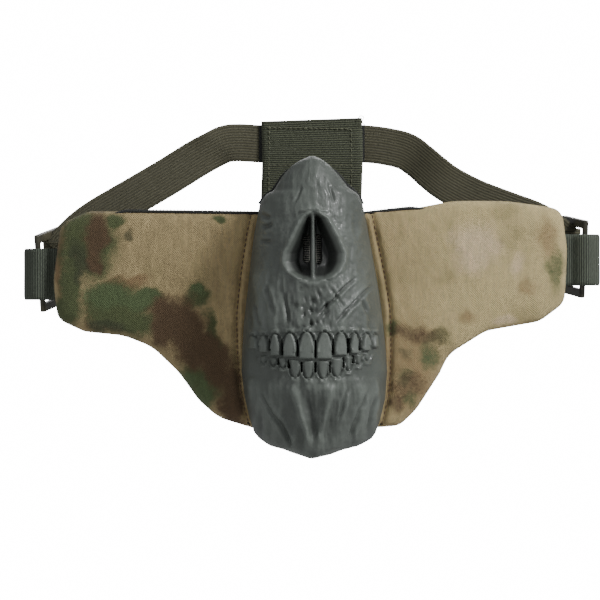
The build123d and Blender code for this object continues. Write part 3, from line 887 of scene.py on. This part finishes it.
def tube_along(name, loop, across, deep, material, points=14, slim_above=None):
    """A closed soft roll along a loop, across wide and deep along Y.

    Above the height slim_above it thins to a flat edging."""
    rings, count = [], len(loop)
    middle = sum(loop, Vector()) / count
    for i, here in enumerate(loop):
        ahead = (loop[(i + 1) % count] - loop[i - 1]).normalized()
        side = ahead.cross(Vector((0, 1, 0))).normalized()
        if side.dot(here - middle) < 0:
            side = -side
        slim = ease(here.z, slim_above, slim_above + 3) if slim_above else 0.0
        for k in range(points):
            angle = 2 * math.pi * k / points
            c, s = math.cos(angle), math.sin(angle)
            swell = 1 + 0.05 * noise.noise(here * 0.12 + Vector((0, 0, k * 0.1)))
            offset = side * (across / 2 * math.copysign(abs(c) ** 0.7, c) * swell)
            back = deep / 2 * (1 - 0.85 * slim) * math.copysign(abs(s) ** 0.6, s)
            rings.append(here + offset + Vector((0, back, 0)))
    faces = grid_faces(count, points, around=True, closed=True)
    return cleaned(new_piece(name, rings, faces, material), merge=0.00001)


def screen_patch(name, low, high, depth, node):
    """A woven screen across the inside of the plate, from corner low to corner high."""
    points = []
    across, up = (np.arange(low[k], high[k] + 0.1, 1.5) for k in (0, 1))
    for z in up:
        for x in across:
            y, out, _ = plate_profile(x, z)
            points.append((x - out.x * depth, y - out.y * depth, z))
    piece = new_piece(name, points, grid_faces(len(up), len(across)), "screen")
    solid = piece.modifiers.new("Thickness", "SOLIDIFY")
    solid.thickness = 0.4 * MM
    settle(apply_modifiers(piece), "face_plate", "screen", node)


def make_inside():
    """The foam and the lining round the rim, the screens behind the openings and their wires."""
    foam = tube_along("plate_foam_roll", rim_path(5.6, -6.6, 50.0), 4.4, 12.5, "foam")
    lining = tube_along("plate_lining_facing", rim_path(7.9, -5.8, 61.0, 0.4), 2.6, 10.6, "lining",
                        slim_above=41.0)
    for piece, node, slot in ((foam, "plate_foam", "foam"), (lining, "plate_lining", "lining")):
        settle(piece, "face_plate", slot, node)
    path = rim_path(9.4, -1.6, 40.0)
    rows = stitch_run("plate_lining_stitches", [path + path[:1]], "black_thread", 2.6, 1.9, 0.5)
    settle(rows, "face_plate", "thread")
    screen_patch("nose_screen_cloth", (-9.5, 11.5), (10.5, 38.5), 10.6, "nose_screen")
    screen_patch("mouth_screen_cloth", (-26.0, -38.0), (27.0, -15.0), 4.6, "mouth_screen")
    wires = []
    for middle, half, low, high in NOSTRILS:
        for z in np.arange(low + 0.8, high - 0.2, 1.05):
            wires.append([(x, plate_profile(x, z)[0] + 8.6, z)
                          for x in np.linspace(middle - half - 0.6, middle + half + 0.6, 5)])
        for x in (middle - half + 0.25, middle + half - 0.25):
            wires.append([(x, plate_profile(x, z)[0] + 8.4, z) for z in
                          np.linspace(low + 0.8, high - 1.0, 12)])
    mesh = stitch_run("nose_screen_wires", wires, "wire", 0.45, 0.75, 0.30, wander=0.0)
    settle(mesh, "face_plate", "screen")


# ---- the wings ----------------------------------------------------------------------------------
# Outer outline of each wing from the top of the plate round to its foot: x, z, corner radius.
WING_CORNERS = {
    "left": [(108.2, 43.0, 14), (121.8, 37.0, 9), (125.5, 9.0, 40), (123.4, -9.3, 8),
             (110.0, -15.4, 12), (91.0, -17.2, 30), (77.0, -22.6, 26), (64.0, -35.0, 40),
             (54.5, -48.3, 26), (45.0, -56.6, 20)],
    "right": [(50.4, 44.4, 30), (68.0, 47.8, 50), (94.0, 47.8, 70), (121.2, 44.2, 8),
              (123.8, 24.5, 40), (122.5, -1.3, 9), (110.2, -10.4, 14), (84.0, -14.9, 16),
              (65.8, -26.2, 16), (61.4, -35.5, 14), (50.0, -53.0, 30), (42.0, -60.4, 9)],
}
WING_ENDS = {"left": (41.6, -62.6), "right": (42.0, -61.6)}
# Where the print has each colour: colour, x, z, half width, half height, tilt in degrees.
PRINT = {
    "left": [
        ("green", -108, 26, 13, 15, 8), ("green", -117, 6, 5, 18, 0), ("green", -112, 34, 8, 10, 0),
        ("green", -95, -4, 16, 12, -8), ("green", -86, -11, 10, 7, 0), ("green", -53, -41, 8, 12, 25),
        ("green", -56, 2, 5, 6, 0), ("green", -48, -16, 3, 11, 8), ("green", -43, 40, 3, 2.5, 0),
        ("green", -95, 39, 5, 4, 0), ("green", -118, -3, 6, 9, 0), ("green", -80, 0, 8, 5, 0),
        ("dark", -89, 31, 2.5, 2, 0), ("dark", -99, -13, 8, 3, -10), ("dark", -113, 18, 4, 9, 0),
        ("brown", -104, 30, 5, 12, 0), ("brown", -106, 17, 3.5, 4, 0),
        ("brown", -64, -12, 12, 12, 12), ("brown", -70, -5, 7, 7, 30), ("brown", -71, -15, 7, 8, 0),
        ("brown", -53, -22, 8, 9, 0), ("brown", -39, -46, 6, 17, 6), ("brown", -46, -32, 6, 9, 0),
        ("brown", -58, -24, 8, 8, 0), ("brown", -36, -60, 5, 6, 0),
        ("bright", -98, 2, 12, 5, -8), ("bright", -51, -44, 5, 8, 20), ("bright", -83, 1, 8, 4, 0),
        ("bright", -60, -38, 4, 4, 0), ("bright", -56, 4, 4, 3, 0),
        ("warm", -122, 17, 3, 15, 0), ("warm", -56, -34, 1.6, 1.6, 0), ("warm", -107, -6, 3, 9, 0),
        ("warm", -92, 8, 12, 3, 14), ("warm", -120, -8, 4, 3, 0),
    ],
    "right": [
        ("pale", 79, 25, 12, 12, 20), ("pale", 98, 17, 4, 6, 0), ("pale", 93, -10, 5, 3, 0),
        ("warm", 114, 30, 5, 9, 0), ("warm", 74, -9, 5, 4, 0), ("warm", 104, 6, 4, 4, 0),
        ("warm", 49, -34, 15, 22, 0), ("green", 118, 14, 5, 12, 0), ("green", 40, -14, 4, 4, 0),
        ("green", 57, -26, 5, 9, 10), ("green", 44, -36, 5, 4, 0), ("green", 47, -47, 4, 4, 0),
        ("green", 60, -18, 6, 4, 0), ("brown", 52, -17, 12, 5, -8), ("brown", 46, -40, 8, 6, 0),
        ("brown", 41, -50, 3, 6, 0), ("dark", 44, -26, 4, 3, 0), ("bright", 40, -14, 2.6, 2.4, 0),
        ("bright", 56, -29, 3, 5, 0), ("bright", 45, -39, 3, 2.5, 0),
    ],
}
# How strongly each wing's print shows.
PRINT_STRENGTH = {"left": 1.0, "right": 0.62}


def plan_y(x):
    """How far back a wing's front has bent, at a distance from the middle."""
    first, last = WING_TURNS
    radius = WING_LENGTH / (math.sin(last) - math.sin(first))
    reach = max(abs(x), HINGE_X) - HINGE_X + radius * math.sin(first)
    return 0.4 + radius * math.cos(first) - math.sqrt(radius ** 2 - reach ** 2)


def plate_edge(side, z):
    """Distance from the middle to the plate's edge."""
    return abs(interpolated(PLATE_ROWS, z, 1 if side < 0 else 2))


def seam_edge(side, z):
    """Distance from the middle to the line of stitches beside the plate."""
    gap = np.interp(z, [-62, -34, -20, -5, 10, 42], [1.4, 1.5, 2.8, 4.1, 4.2, 3.4])
    return plate_edge(side, z) + float(gap)


def wing_outline(hand, inset=0.0):
    """Closed outline in x and z, signed for its side."""
    side = SIDES[hand]
    top, bottom = WING_ENDS[hand]
    inner = [(plate_edge(side, z) - 3.0, z, 0) for z in np.linspace(bottom, top, 14)]
    outline = rounded_outline(inner + WING_CORNERS[hand])
    if inset:
        step = np.roll(outline, -1, axis=0) - np.roll(outline, 1, axis=0)
        normal = np.stack([step[:, 1], -step[:, 0]], 1)
        normal /= np.linalg.norm(normal, axis=1, keepdims=True) + 1e-9
        flip = np.sign(((outline - outline.mean(0)) * normal).sum())
        outline = outline - normal * inset * flip
    return outline * np.array((side, 1.0))


def print_masks(hand, x, z):
    """Strength of each print colour at a point, from soft blobs with wandering edges."""
    strength = dict.fromkeys(("green", "brown", "dark", "bright", "warm", "pale"), 0.0)
    wx, wz = (at + 3.4 * wander(x * 0.11, wide, z * 0.11) + 1.3 * wander(x * 0.33, fine, z * 0.33)
              for at, wide, fine in ((x, 2.0, 8.0), (z, 5.0, 4.0)))
    for colour, cx, cz, half_x, half_z, tilt in PRINT[hand]:
        dx, dz = wx - cx, wz - cz
        if abs(dx) > 30 or abs(dz) > 30:
            continue
        c, s = math.cos(math.radians(tilt)), math.sin(math.radians(tilt))
        reach = math.hypot((dx * c + dz * s) / half_x, (dz * c - dx * s) / half_z)
        patch = PRINT_STRENGTH[hand] * (1 - ease(reach, 0.42, 1.72))
        strength[colour] = max(strength[colour], patch)
    return strength


def wing_front(hand, x, z, edge):
    """Y of the padded cover's face."""
    side = SIDES[hand]
    puff = bpy.context.scene.mask_cloth.puff / MM
    seam = abs(x) - seam_edge(side, z)
    y = plan_y(x) + 2.4 * math.exp(-edge / 1.5) - puff * (1 - math.exp(-edge / 6.5))
    pinch = bell(seam, 0.9)
    y += 1.1 * pinch - 0.5 * bell(seam - 3.2, 2.0)
    y -= 0.45 * bell(seam + 2.0, 1.1)
    pucker = math.exp(-abs(seam) / 4.0) + 0.7 * math.exp(-edge / 4.0)
    y += 0.22 * pucker * wander(x * 0.25, 3.0, z * 0.62)
    y += 0.55 * wander(x * 0.035, 1.0, z * 0.05)
    crease = wander((x + z * 0.6) * 0.10, 6.0, (z - x * 0.3) * 0.03)
    y -= 0.35 * max(0.0, 1 - abs(crease) * 9) * (1 - math.exp(-edge / 8))
    return y


def wing_back(x, edge):
    """Y of the lining's face."""
    y = plan_y(x) + 5.5 - 1.9 * math.exp(-edge / 1.5) + 0.6 * (1 - math.exp(-edge / 8.0))
    return y + 0.3 * wander(x * 0.06, 2.0, edge * 0.1)


def bend_wing(piece):
    """Bakes the piece's placement into its mesh."""
    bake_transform(piece)


def cloth_skin(name, outline, spacing, height_at, thick, material, from_x=0.0):
    """A sheet over an outline with a real thickness, its face at height_at, and its places."""
    flat, faces, edge = cloth_grid(outline, spacing, from_x)
    points = [(x, height_at(x, z, e), z) for (x, z), e in zip(flat, edge)]
    piece = new_piece(name, points, faces, material)
    solid = piece.modifiers.new("Thickness", "SOLIDIFY")
    solid.thickness = thick * MM
    solid.offset = -1.0
    faces_front = sum(face.normal.y for face in piece.data.polygons) < 0
    if faces_front == name.endswith("lining"):
        piece.data.flip_normals()
    return piece, flat


def make_wing(hand):
    """A printed cover, foam, lining, bound edge and seam, bent where the wing turns."""
    side = SIDES[hand]
    spacing = bpy.context.scene.mask_cloth.spacing / MM
    cover, flat = cloth_skin(f"{hand}_wing_cover_cloth", wing_outline(hand), spacing,
                             lambda x, z, e: wing_front(hand, x, z, e), 0.7, "camo")
    masks = [print_masks(hand, x, z) for x, z in flat]
    paint(cover, "print_a", [(m["green"], m["brown"], m["dark"]) for m in masks])
    paint(cover, "print_b", [(m["bright"], m["warm"], m["pale"]) for m in masks])
    settle(apply_modifiers(cover), None, "camo", f"{hand}_wing_cover", f"{hand}_seam_welt")
    lining, _ = cloth_skin(f"{hand}_wing_back_lining", wing_outline(hand, 1.1), 1.3,
                           lambda x, z, e: wing_back(x, e), 0.6, "lining")
    settle(apply_modifiers(lining), None, "lining", f"{hand}_wing_lining")
    foam, _ = cloth_skin(f"{hand}_wing_foam_sheet", wing_outline(hand, 4.0), 2.4,
                         lambda x, z, e: plan_y(x) + 1.7, 2.4, "foam", from_x=50.0)
    settle(apply_modifiers(foam), f"{hand}_wing", "foam", f"{hand}_wing_foam")
    # The overlocked edge: a rolled core with slanted threads over it.
    outline = resample(wing_outline(hand, 2.1), 1.2)
    top = max(outline[:, 1])
    ends = (88, 100) if side < 0 else (46, 58)
    loop = []
    for x, z in outline:
        raised = 2.3 * ease(z, top - 9, top - 3) * (1 - ease(abs(x), *ends))
        loop.append(Vector((x, plan_y(x) + 2.9, z + raised)))
    roll = tube_along(f"{hand}_edge_roll", loop, 1.7, 4.0, "lining", points=8)
    settle(roll, None, "binding", f"{hand}_edge_binding")
    overlock = stitch_run(f"{hand}_overlock_threads", [loop + loop[:1]], "black_thread", 1.7, 3.0,
                          0.42, slant=1.2)
    settle(overlock, None, "binding")
    # The line of stitches that holds the wing to the welt.
    top_z, bottom_z = WING_ENDS[hand]
    seam = []
    for z in np.linspace(top_z - 2.0, bottom_z + 2.5, 60):
        x = side * seam_edge(side, z)
        seam.append((x, wing_front(hand, x, z, 20.0) - 0.12, z))
    stitches = stitch_run(f"{hand}_seam_threads", [seam], "seam_thread", 2.7, 2.2, 0.48)
    settle(stitches, "face_plate", "seam_thread", f"{hand}_seam_stitching")
    for piece in (cover, lining, roll, overlock):
        bend_wing(piece)


# ---- webbing and elastic ------------------------------------------------------------------------
def band(name, path, over_at, width, thick, material, ribs, pitch, depth=0.22, edge=0.45):
    """A flat woven band along a path. over_at is the way of its width, or one for each point.

    ribs is "across" for ribs over the width, "along" for ribs that run with the band."""
    path = [Vector(p) for p in path]
    count, columns = len(path), max(8, int(width / (pitch / 5 if ribs == "along" else 1.6)))
    points, uvs, travelled = [], [], 0.0
    for i, here in enumerate(path):
        before, after = path[max(i - 1, 0)], path[min(i + 1, count - 1)]
        travelled += (here - before).length
        ahead = (after - before).normalized()
        over = over_at[i] if isinstance(over_at, list) else over_at
        over = (over - ahead * over.dot(ahead)).normalized()
        out = over.cross(ahead).normalized()
        narrow = 1 + 0.006 * wander(travelled * 0.35, 4.0, 0)
        for back in (0, 1):
            for k in range(columns + 1):
                v = abs(back - k / columns)
                at = travelled + back * pitch / 2 if ribs == "across" else v * width
                rim = ease(min(v, 1 - v) * width, 0.0, edge * 2)
                half = thick / 2 * (0.35 + 0.65 * rim)
                half += depth * 0.5 * math.sin(2 * math.pi * at / pitch) * rim
                half += 0.10 * wander(travelled * 0.21, v * 2, back * 3.0)
                points.append(here + over * (v - 0.5) * width * narrow + out * half * (1 - 2 * back))
                uvs.append((travelled, v * width))
    size = 2 * (columns + 1)
    faces = grid_faces(count, size, around=True)
    for end in (0, (count - 1) * size):
        faces += [(end + k, end + k + 1, end + size - 2 - k, end + size - 1 - k)
                  for k in range(columns)]
    return cleaned(new_piece(name, points, faces, material, uvs))


def make_tab(hand):
    """Webbing from the wing's back, round the buckle's fixed bar and back again."""
    side = SIDES[hand]
    low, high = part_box(f"{hand}_tab_webbing")
    level = (low.z + high.z) / 2 / MM
    pitch = bpy.context.scene.mask_straps.rib_pitch / MM

    def place(along, over):
        return (side * (BAR_X + along * math.cos(TAB_TILT) - over * math.sin(TAB_TILT)),
                BAR_Y + along * math.sin(TAB_TILT) + over * math.cos(TAB_TILT))

    leg = [(-21.5, 0.85), (-14.0, 0.85), (-8.0, 0.9), (-5.6, 1.6), (-3.0, 3.8), (0.0, 5.15),
           (3.2, 4.7), (6.0, 3.0)]
    plan = leg + [(7.3, 0.0)] + [(along, -over) for along, over in reversed(leg)]
    path = [(*place(along, over), level) for along, over in smooth_path(plan, pitch / 4)]
    strap = band(f"{hand}_tab_loop", path, Vector((0, 0, 1)), TAB_WIDTH, 1.35, "tab", "across",
                 pitch)
    settle(strap, f"{hand}_wing", "tab_webbing", f"{hand}_tab_webbing")
    rows = []
    for along in (-12.5, -18.5):
        x, y = place(along, 1.95)
        for shift in (-0.5, 0.5):
            rows.append([(x + side * shift, y, level + up) for up in (-11, 11)])
    tack = stitch_run(f"{hand}_bartack_threads", rows, "olive_thread", 1.3, 1.5, 0.5, slant=0.5)
    settle(tack, f"{hand}_wing", "thread", f"{hand}_tab_bartack")


def make_buckle(hand):
    """The moulded ladder-lock: the CAD shape with softened edges."""
    source = frame["nodes"][f"{hand}_buckle"]
    piece = add_object(f"{hand}_ladder_lock", source.data.copy())
    piece.data.materials.clear()
    piece.data.materials.append(MATERIALS["buckle"])
    cleaned(piece, merge=0.00002, turn_out=False)
    remesh = piece.modifiers.new("Skin", "REMESH")
    remesh.mode = "VOXEL"
    remesh.voxel_size = 0.00042
    soft = piece.modifiers.new("Soft", "SMOOTH")
    soft.factor = 0.5
    soft.iterations = 6
    apply_modifiers(piece)
    smooth(piece)
    settle(piece, f"{hand}_strap", "buckle", f"{hand}_buckle")


# The elastic from the buckle to the pad: x, z, and how far it is turned over, in degrees.
ELASTIC_ROUTE = {
    "left": [(-123.6, 22.6, 0), (-119.0, 28.3, 0), (-112.5, 34.8, 0),
             (-104.0, 41.0, 0), (-92.2, 48.0, 0), (-72.5, 59.6, 0), (-57.0, 69.3, 6),
             (-48.5, 74.0, 14), (-42.5, 76.8, 6), (-36.0, 77.5, 0), (-26.0, 77.0, 0),
             (-20.0, 77.0, 0)],
    "right": [(123.9, 28.4, 0), (120.0, 31.6, 0), (115.0, 35.6, 0), (108.0, 39.6, 0),
              (94.5, 44.6, 0), (79.7, 50.4, 0), (67.2, 57.0, 0), (59.5, 62.8, -10),
              (53.3, 68.2, -16), (46.5, 73.0, -6), (38.0, 75.4, 0), (28.0, 76.8, 0),
              (20.0, 76.8, 0)],
}


def make_elastic(hand):
    """The band from the buckle to the pad, its fold round the crossbar and its stitched tail."""
    side, body = SIDES[hand], f"{hand}_strap"
    rib = ELASTIC_WIDTH / bpy.context.scene.mask_straps.elastic_ribs
    lean, swing = math.radians(BUCKLE_LEAN[hand]), math.radians(BUCKLE_SWING[hand])
    along_frame = Vector((-side * math.cos(lean) * math.cos(swing),
                          math.cos(lean) * math.sin(swing), math.sin(lean)))
    up_bar = Vector((side * math.sin(lean) * math.cos(swing),
                     -math.sin(lean) * math.sin(swing), math.cos(lean)))
    centre = BARS[hand] + along_frame * CROSSBAR_AT + up_bar * ELASTIC_SHIFT
    fold_x, fold_y = abs(centre.x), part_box(f"{hand}_elastic")[0].y / MM + 0.7
    route = smooth_path(ELASTIC_ROUTE[hand], 0.7)
    path = []
    for x, z, _ in route:
        share = min((fold_x - abs(x)) / (fold_x - PAD_HINGE_X), 1.0)
        path.append(Vector((x, fold_y + (PAD_Y - fold_y) * share, z)))
    spread = []
    for i, (_, _, turn) in enumerate(route):
        ahead = (path[min(i + 1, len(path) - 1)] - path[max(i - 1, 0)]).normalized()
        up = Vector((0, 1, 0)).cross(ahead)
        up = up if up.z > 0 else -up
        spread.append(Matrix.Rotation(math.radians(turn), 3, ahead) @ up)
    strap = band(f"{hand}_elastic_band", path, spread, ELASTIC_WIDTH, 1.0, "elastic", "along",
                 rib, depth=0.16)
    PAD_Y * MM
    PAD_Y * MM
    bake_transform(strap)
    settle(strap, None, "elastic", f"{hand}_elastic")
    fold = [(-6.5, -3.1), (-3.0, -3.05), (0.6, -2.9), (2.6, -1.9), (3.2, 0.0), (2.6, 1.9),
            (0.6, 2.9), (-3.0, 3.05), (-8.0, 3.1), (-12.2, 3.2)]
    path = [centre + Vector((side * along, over, 0)) for along, over in smooth_path(fold, 0.5)]
    tail = band(f"{hand}_elastic_fold", path, up_bar, 18.3, 1.0, "elastic", "along", rib,
                depth=0.16)
    settle(tail, body, "elastic")
    hem = centre + Vector((-side * 9.6, 3.85, 0))
    threads = stitch_run(f"{hand}_tail_threads", [[hem + up_bar * t for t in (-7.5, 0, 7.5)]],
                         "olive_thread", 1.9, 1.5, 0.45)
    settle(threads, body, "thread", f"{hand}_tail_stitching")


def make_pad():
    """Two layers of wide webbing, stitched round a box, with one loose thread."""
    pitch = bpy.context.scene.mask_straps.rib_pitch / MM
    for node in ("head_pad_front", "head_pad_back"):
        low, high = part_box(node)
        y = (low.y + high.y) / 2 / MM
        path = [(0.35 * math.sin(z * 0.11), y + 0.25 * math.sin(z * 0.16), z)
                for (z,) in resample(np.array([(high.z / MM,), (low.z / MM,)]), pitch / 4)]
        webbing = band(f"{node}_webbing", path, Vector((1, 0, -0.018)), 49.6, 1.7, "pad",
                       "across", pitch, depth=0.34, edge=0.8)
        settle(webbing, "head_pad", "pad_webbing", node)
    low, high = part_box("head_pad_front")
    face, back = low.y / MM - 0.05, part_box("head_pad_back")[1].y / MM + 0.05
    top, bottom = high.z / MM, low.z / MM
    box = [(-20.9, top - 4.0), (19.3, top - 4.6), (19.6, top - 24.0), (19.2, bottom + 5),
           (-21.0, bottom + 5), (-21.2, top - 24.0), (-20.9, top - 4.0)]
    rows = []
    for y in (face, back):
        rows.append([(x, y, z) for x, z in resample(np.array(box), 1.0)])
        rows.append([(x, y, top - 22.5) for x in np.linspace(-21, 19.4, 40)])
    threads = stitch_run("head_pad_threads", rows, "olive_thread", 2.5, 2.1, 0.55)
    settle(threads, "head_pad", "thread", "head_pad_stitching")
    loose = smooth_path([(22.6, face - 0.3, top - 0.4), (23.6, face - 1.0, top + 1.6),
                         (25.4, face - 1.2, top + 1.2), (24.8, face - 0.8, top - 1.4),
                         (26.2, face - 0.5, top - 2.8)], 0.5)
    stray = stitch_run("head_pad_loose_thread", [loose], "olive_thread", 0.45, 0.75, 0.36)
    settle(stray, "head_pad", "thread")
    frame["nodes"]["head_pad_elastic"].material_slots[0].material = MATERIALS["lining"]


# ---- floor, light and camera --------------------------------------------------------------------
# Strength of the white that shows behind the mask but doesn't light it.
WHITE = 16.0
# Each lamp: name, place, size in metres, power in watts.
LAMPS = [("key", (0.95, -0.65, 0.80), 0.30, 15.0), ("fill", (-0.9, -0.9, 0.2), 0.9, 1.6),
         ("back", (0.1, 0.9, 0.6), 0.8, 5.0)]
# The camera's distance, the width it sees there and how far it stands to the side, in metres.
CAMERA_DISTANCE = 1.5
VIEW_WIDTH = 0.288
CAMERA_X = -0.0058


def make_world():
    """White behind the mask, and an even light of its own strength on it."""
    world = bpy.data.worlds.new("studio")
    bpy.context.scene.world = world
    world.use_nodes = True
    tree = world.node_tree
    even = tree.nodes["Background"]
    even.inputs["Color"].default_value = (0.96, 0.98, 1, 1)
    even.inputs["Strength"].default_value = 0.29
    white = add_node(tree, "ShaderNodeBackground", {}, {"Color": (1, 1, 1, 1), "Strength": WHITE})
    sight = add_node(tree, "ShaderNodeLightPath", {}, {})
    blend = add_node(tree, "ShaderNodeMixShader", {}, {
        0: sight.outputs["Is Camera Ray"], 1: even.outputs[0], 2: white.outputs[0]})
    tree.links.new(blend.outputs[0], tree.nodes["World Output"].inputs[0])


def make_stage():
    """A pale floor that shows white, three soft lamps and the camera."""
    bpy.ops.mesh.primitive_plane_add(size=3, location=(0, 0, -0.45))
    floor = bpy.context.object
    floor.name = "studio_floor"
    pale = Surface("studio_floor", rough=0.9)
    pale.shader.inputs["Base Color"].default_value = (0.5, 0.5, 0.5, 1)
    pale.shader.inputs["Emission Strength"].default_value = WHITE
    sight = pale.add("ShaderNodeLightPath", {}, {}, "Is Camera Ray")
    glow = pale.mix(sight, (0.0, 0.0, 0.0), (1.0, 1.0, 1.0))
    pale.tree.links.new(glow.socket, pale.shader.inputs["Emission Color"])
    floor.data.materials.append(pale.material)
    make_world()
    for name, place, size, power in LAMPS:
        light = bpy.data.lights.new(name, "AREA")
        light.size = size
        light.energy = power
        lamp = add_object(name, light)
        lamp.location = place
        lamp.rotation_euler = (-Vector(place)).to_track_quat("-Z", "Y").to_euler()
    lens = bpy.data.cameras.new("camera")
    lens.sensor_width = 36
    lens.lens = 36 * CAMERA_DISTANCE / VIEW_WIDTH
    camera = add_object("camera", lens)
    camera.location = (CAMERA_X, -CAMERA_DISTANCE, 0.0)
    camera.rotation_euler = (math.radians(90), 0, 0)
    bpy.context.scene.camera = camera


# ---- operators ----------------------------------------------------------------------------------
class MASK_OT_materials(bpy.types.Operator):
    """Makes every surface"""
    bl_idname = "mask.materials"
    bl_label = "Materials"

    def execute(self, context):
        make_materials()
        return {"FINISHED"}


class MASK_OT_skull_plate(bpy.types.Operator):
    """Sculpts the moulded plate"""
    bl_idname = "mask.skull_plate"
    bl_label = "Skull Plate"

    def execute(self, context):
        make_skull_plate()
        return {"FINISHED"}


class MASK_OT_inside(bpy.types.Operator):
    """Lines the plate and screens its openings"""
    bl_idname = "mask.inside"
    bl_label = "Foam and Screens"

    def execute(self, context):
        make_inside()
        return {"FINISHED"}


class MASK_OT_wings(bpy.types.Operator):
    """Makes the two padded cloth wings"""
    bl_idname = "mask.wings"
    bl_label = "Wings"

    def execute(self, context):
        for hand in SIDES:
            make_wing(hand)
        return {"FINISHED"}


class MASK_OT_tabs(bpy.types.Operator):
    """Folds the webbing tabs round the buckles' bars"""
    bl_idname = "mask.tabs"
    bl_label = "Tabs"

    def execute(self, context):
        for hand in SIDES:
            make_tab(hand)
        return {"FINISHED"}


class MASK_OT_buckles(bpy.types.Operator):
    """Softens the moulded buckles"""
    bl_idname = "mask.buckles"
    bl_label = "Buckles"

    def execute(self, context):
        for hand in SIDES:
            make_buckle(hand)
        return {"FINISHED"}


class MASK_OT_elastics(bpy.types.Operator):
    """Lays the elastic halves of the strap"""
    bl_idname = "mask.elastics"
    bl_label = "Elastics"

    def execute(self, context):
        for hand in SIDES:
            make_elastic(hand)
        return {"FINISHED"}


class MASK_OT_head_pad(bpy.types.Operator):
    """Makes the pad behind the head"""
    bl_idname = "mask.head_pad"
    bl_label = "Head Pad"

    def execute(self, context):
        make_pad()
        return {"FINISHED"}


class MASK_OT_stage(bpy.types.Operator):
    """Sets the floor, the light and the camera"""
    bl_idname = "mask.stage"
    bl_label = "Stage"

    def execute(self, context):
        make_stage()
        return {"FINISHED"}


STEPS = [MASK_OT_materials, MASK_OT_skull_plate, MASK_OT_inside, MASK_OT_wings,
         MASK_OT_tabs, MASK_OT_buckles, MASK_OT_elastics, MASK_OT_head_pad, MASK_OT_stage]


class MASK_PT_maker(bpy.types.Panel):
    """Lists the steps that make the mask"""
    bl_label = "Half Face Mask"
    bl_space_type = "VIEW_3D"
    bl_region_type = "UI"
    bl_category = "Mask"

    def draw(self, context):
        for group in (context.scene.mask_plate, context.scene.mask_cloth,
                      context.scene.mask_straps):
            for key in group.__annotations__:
                self.layout.prop(group, key)
        for step in STEPS:
            self.layout.operator(step.bl_idname)


CLASSES = [PlateSettings, ClothSettings, StrapSettings, *STEPS, MASK_PT_maker]


def register():
    for item in CLASSES:
        bpy.utils.register_class(item)
    bpy.types.Scene.mask_plate = bpy.props.PointerProperty(type=PlateSettings)
    bpy.types.Scene.mask_cloth = bpy.props.PointerProperty(type=ClothSettings)
    bpy.types.Scene.mask_straps = bpy.props.PointerProperty(type=StrapSettings)


def unregister():
    del bpy.types.Scene.mask_plate, bpy.types.Scene.mask_cloth, bpy.types.Scene.mask_straps
    for item in reversed(CLASSES):
        bpy.utils.unregister_class(item)


def main():
    register()
    for step in STEPS:
        getattr(bpy.ops.mask, step.bl_idname.split(".")[1])()


if __name__ == "__main__":
    main()
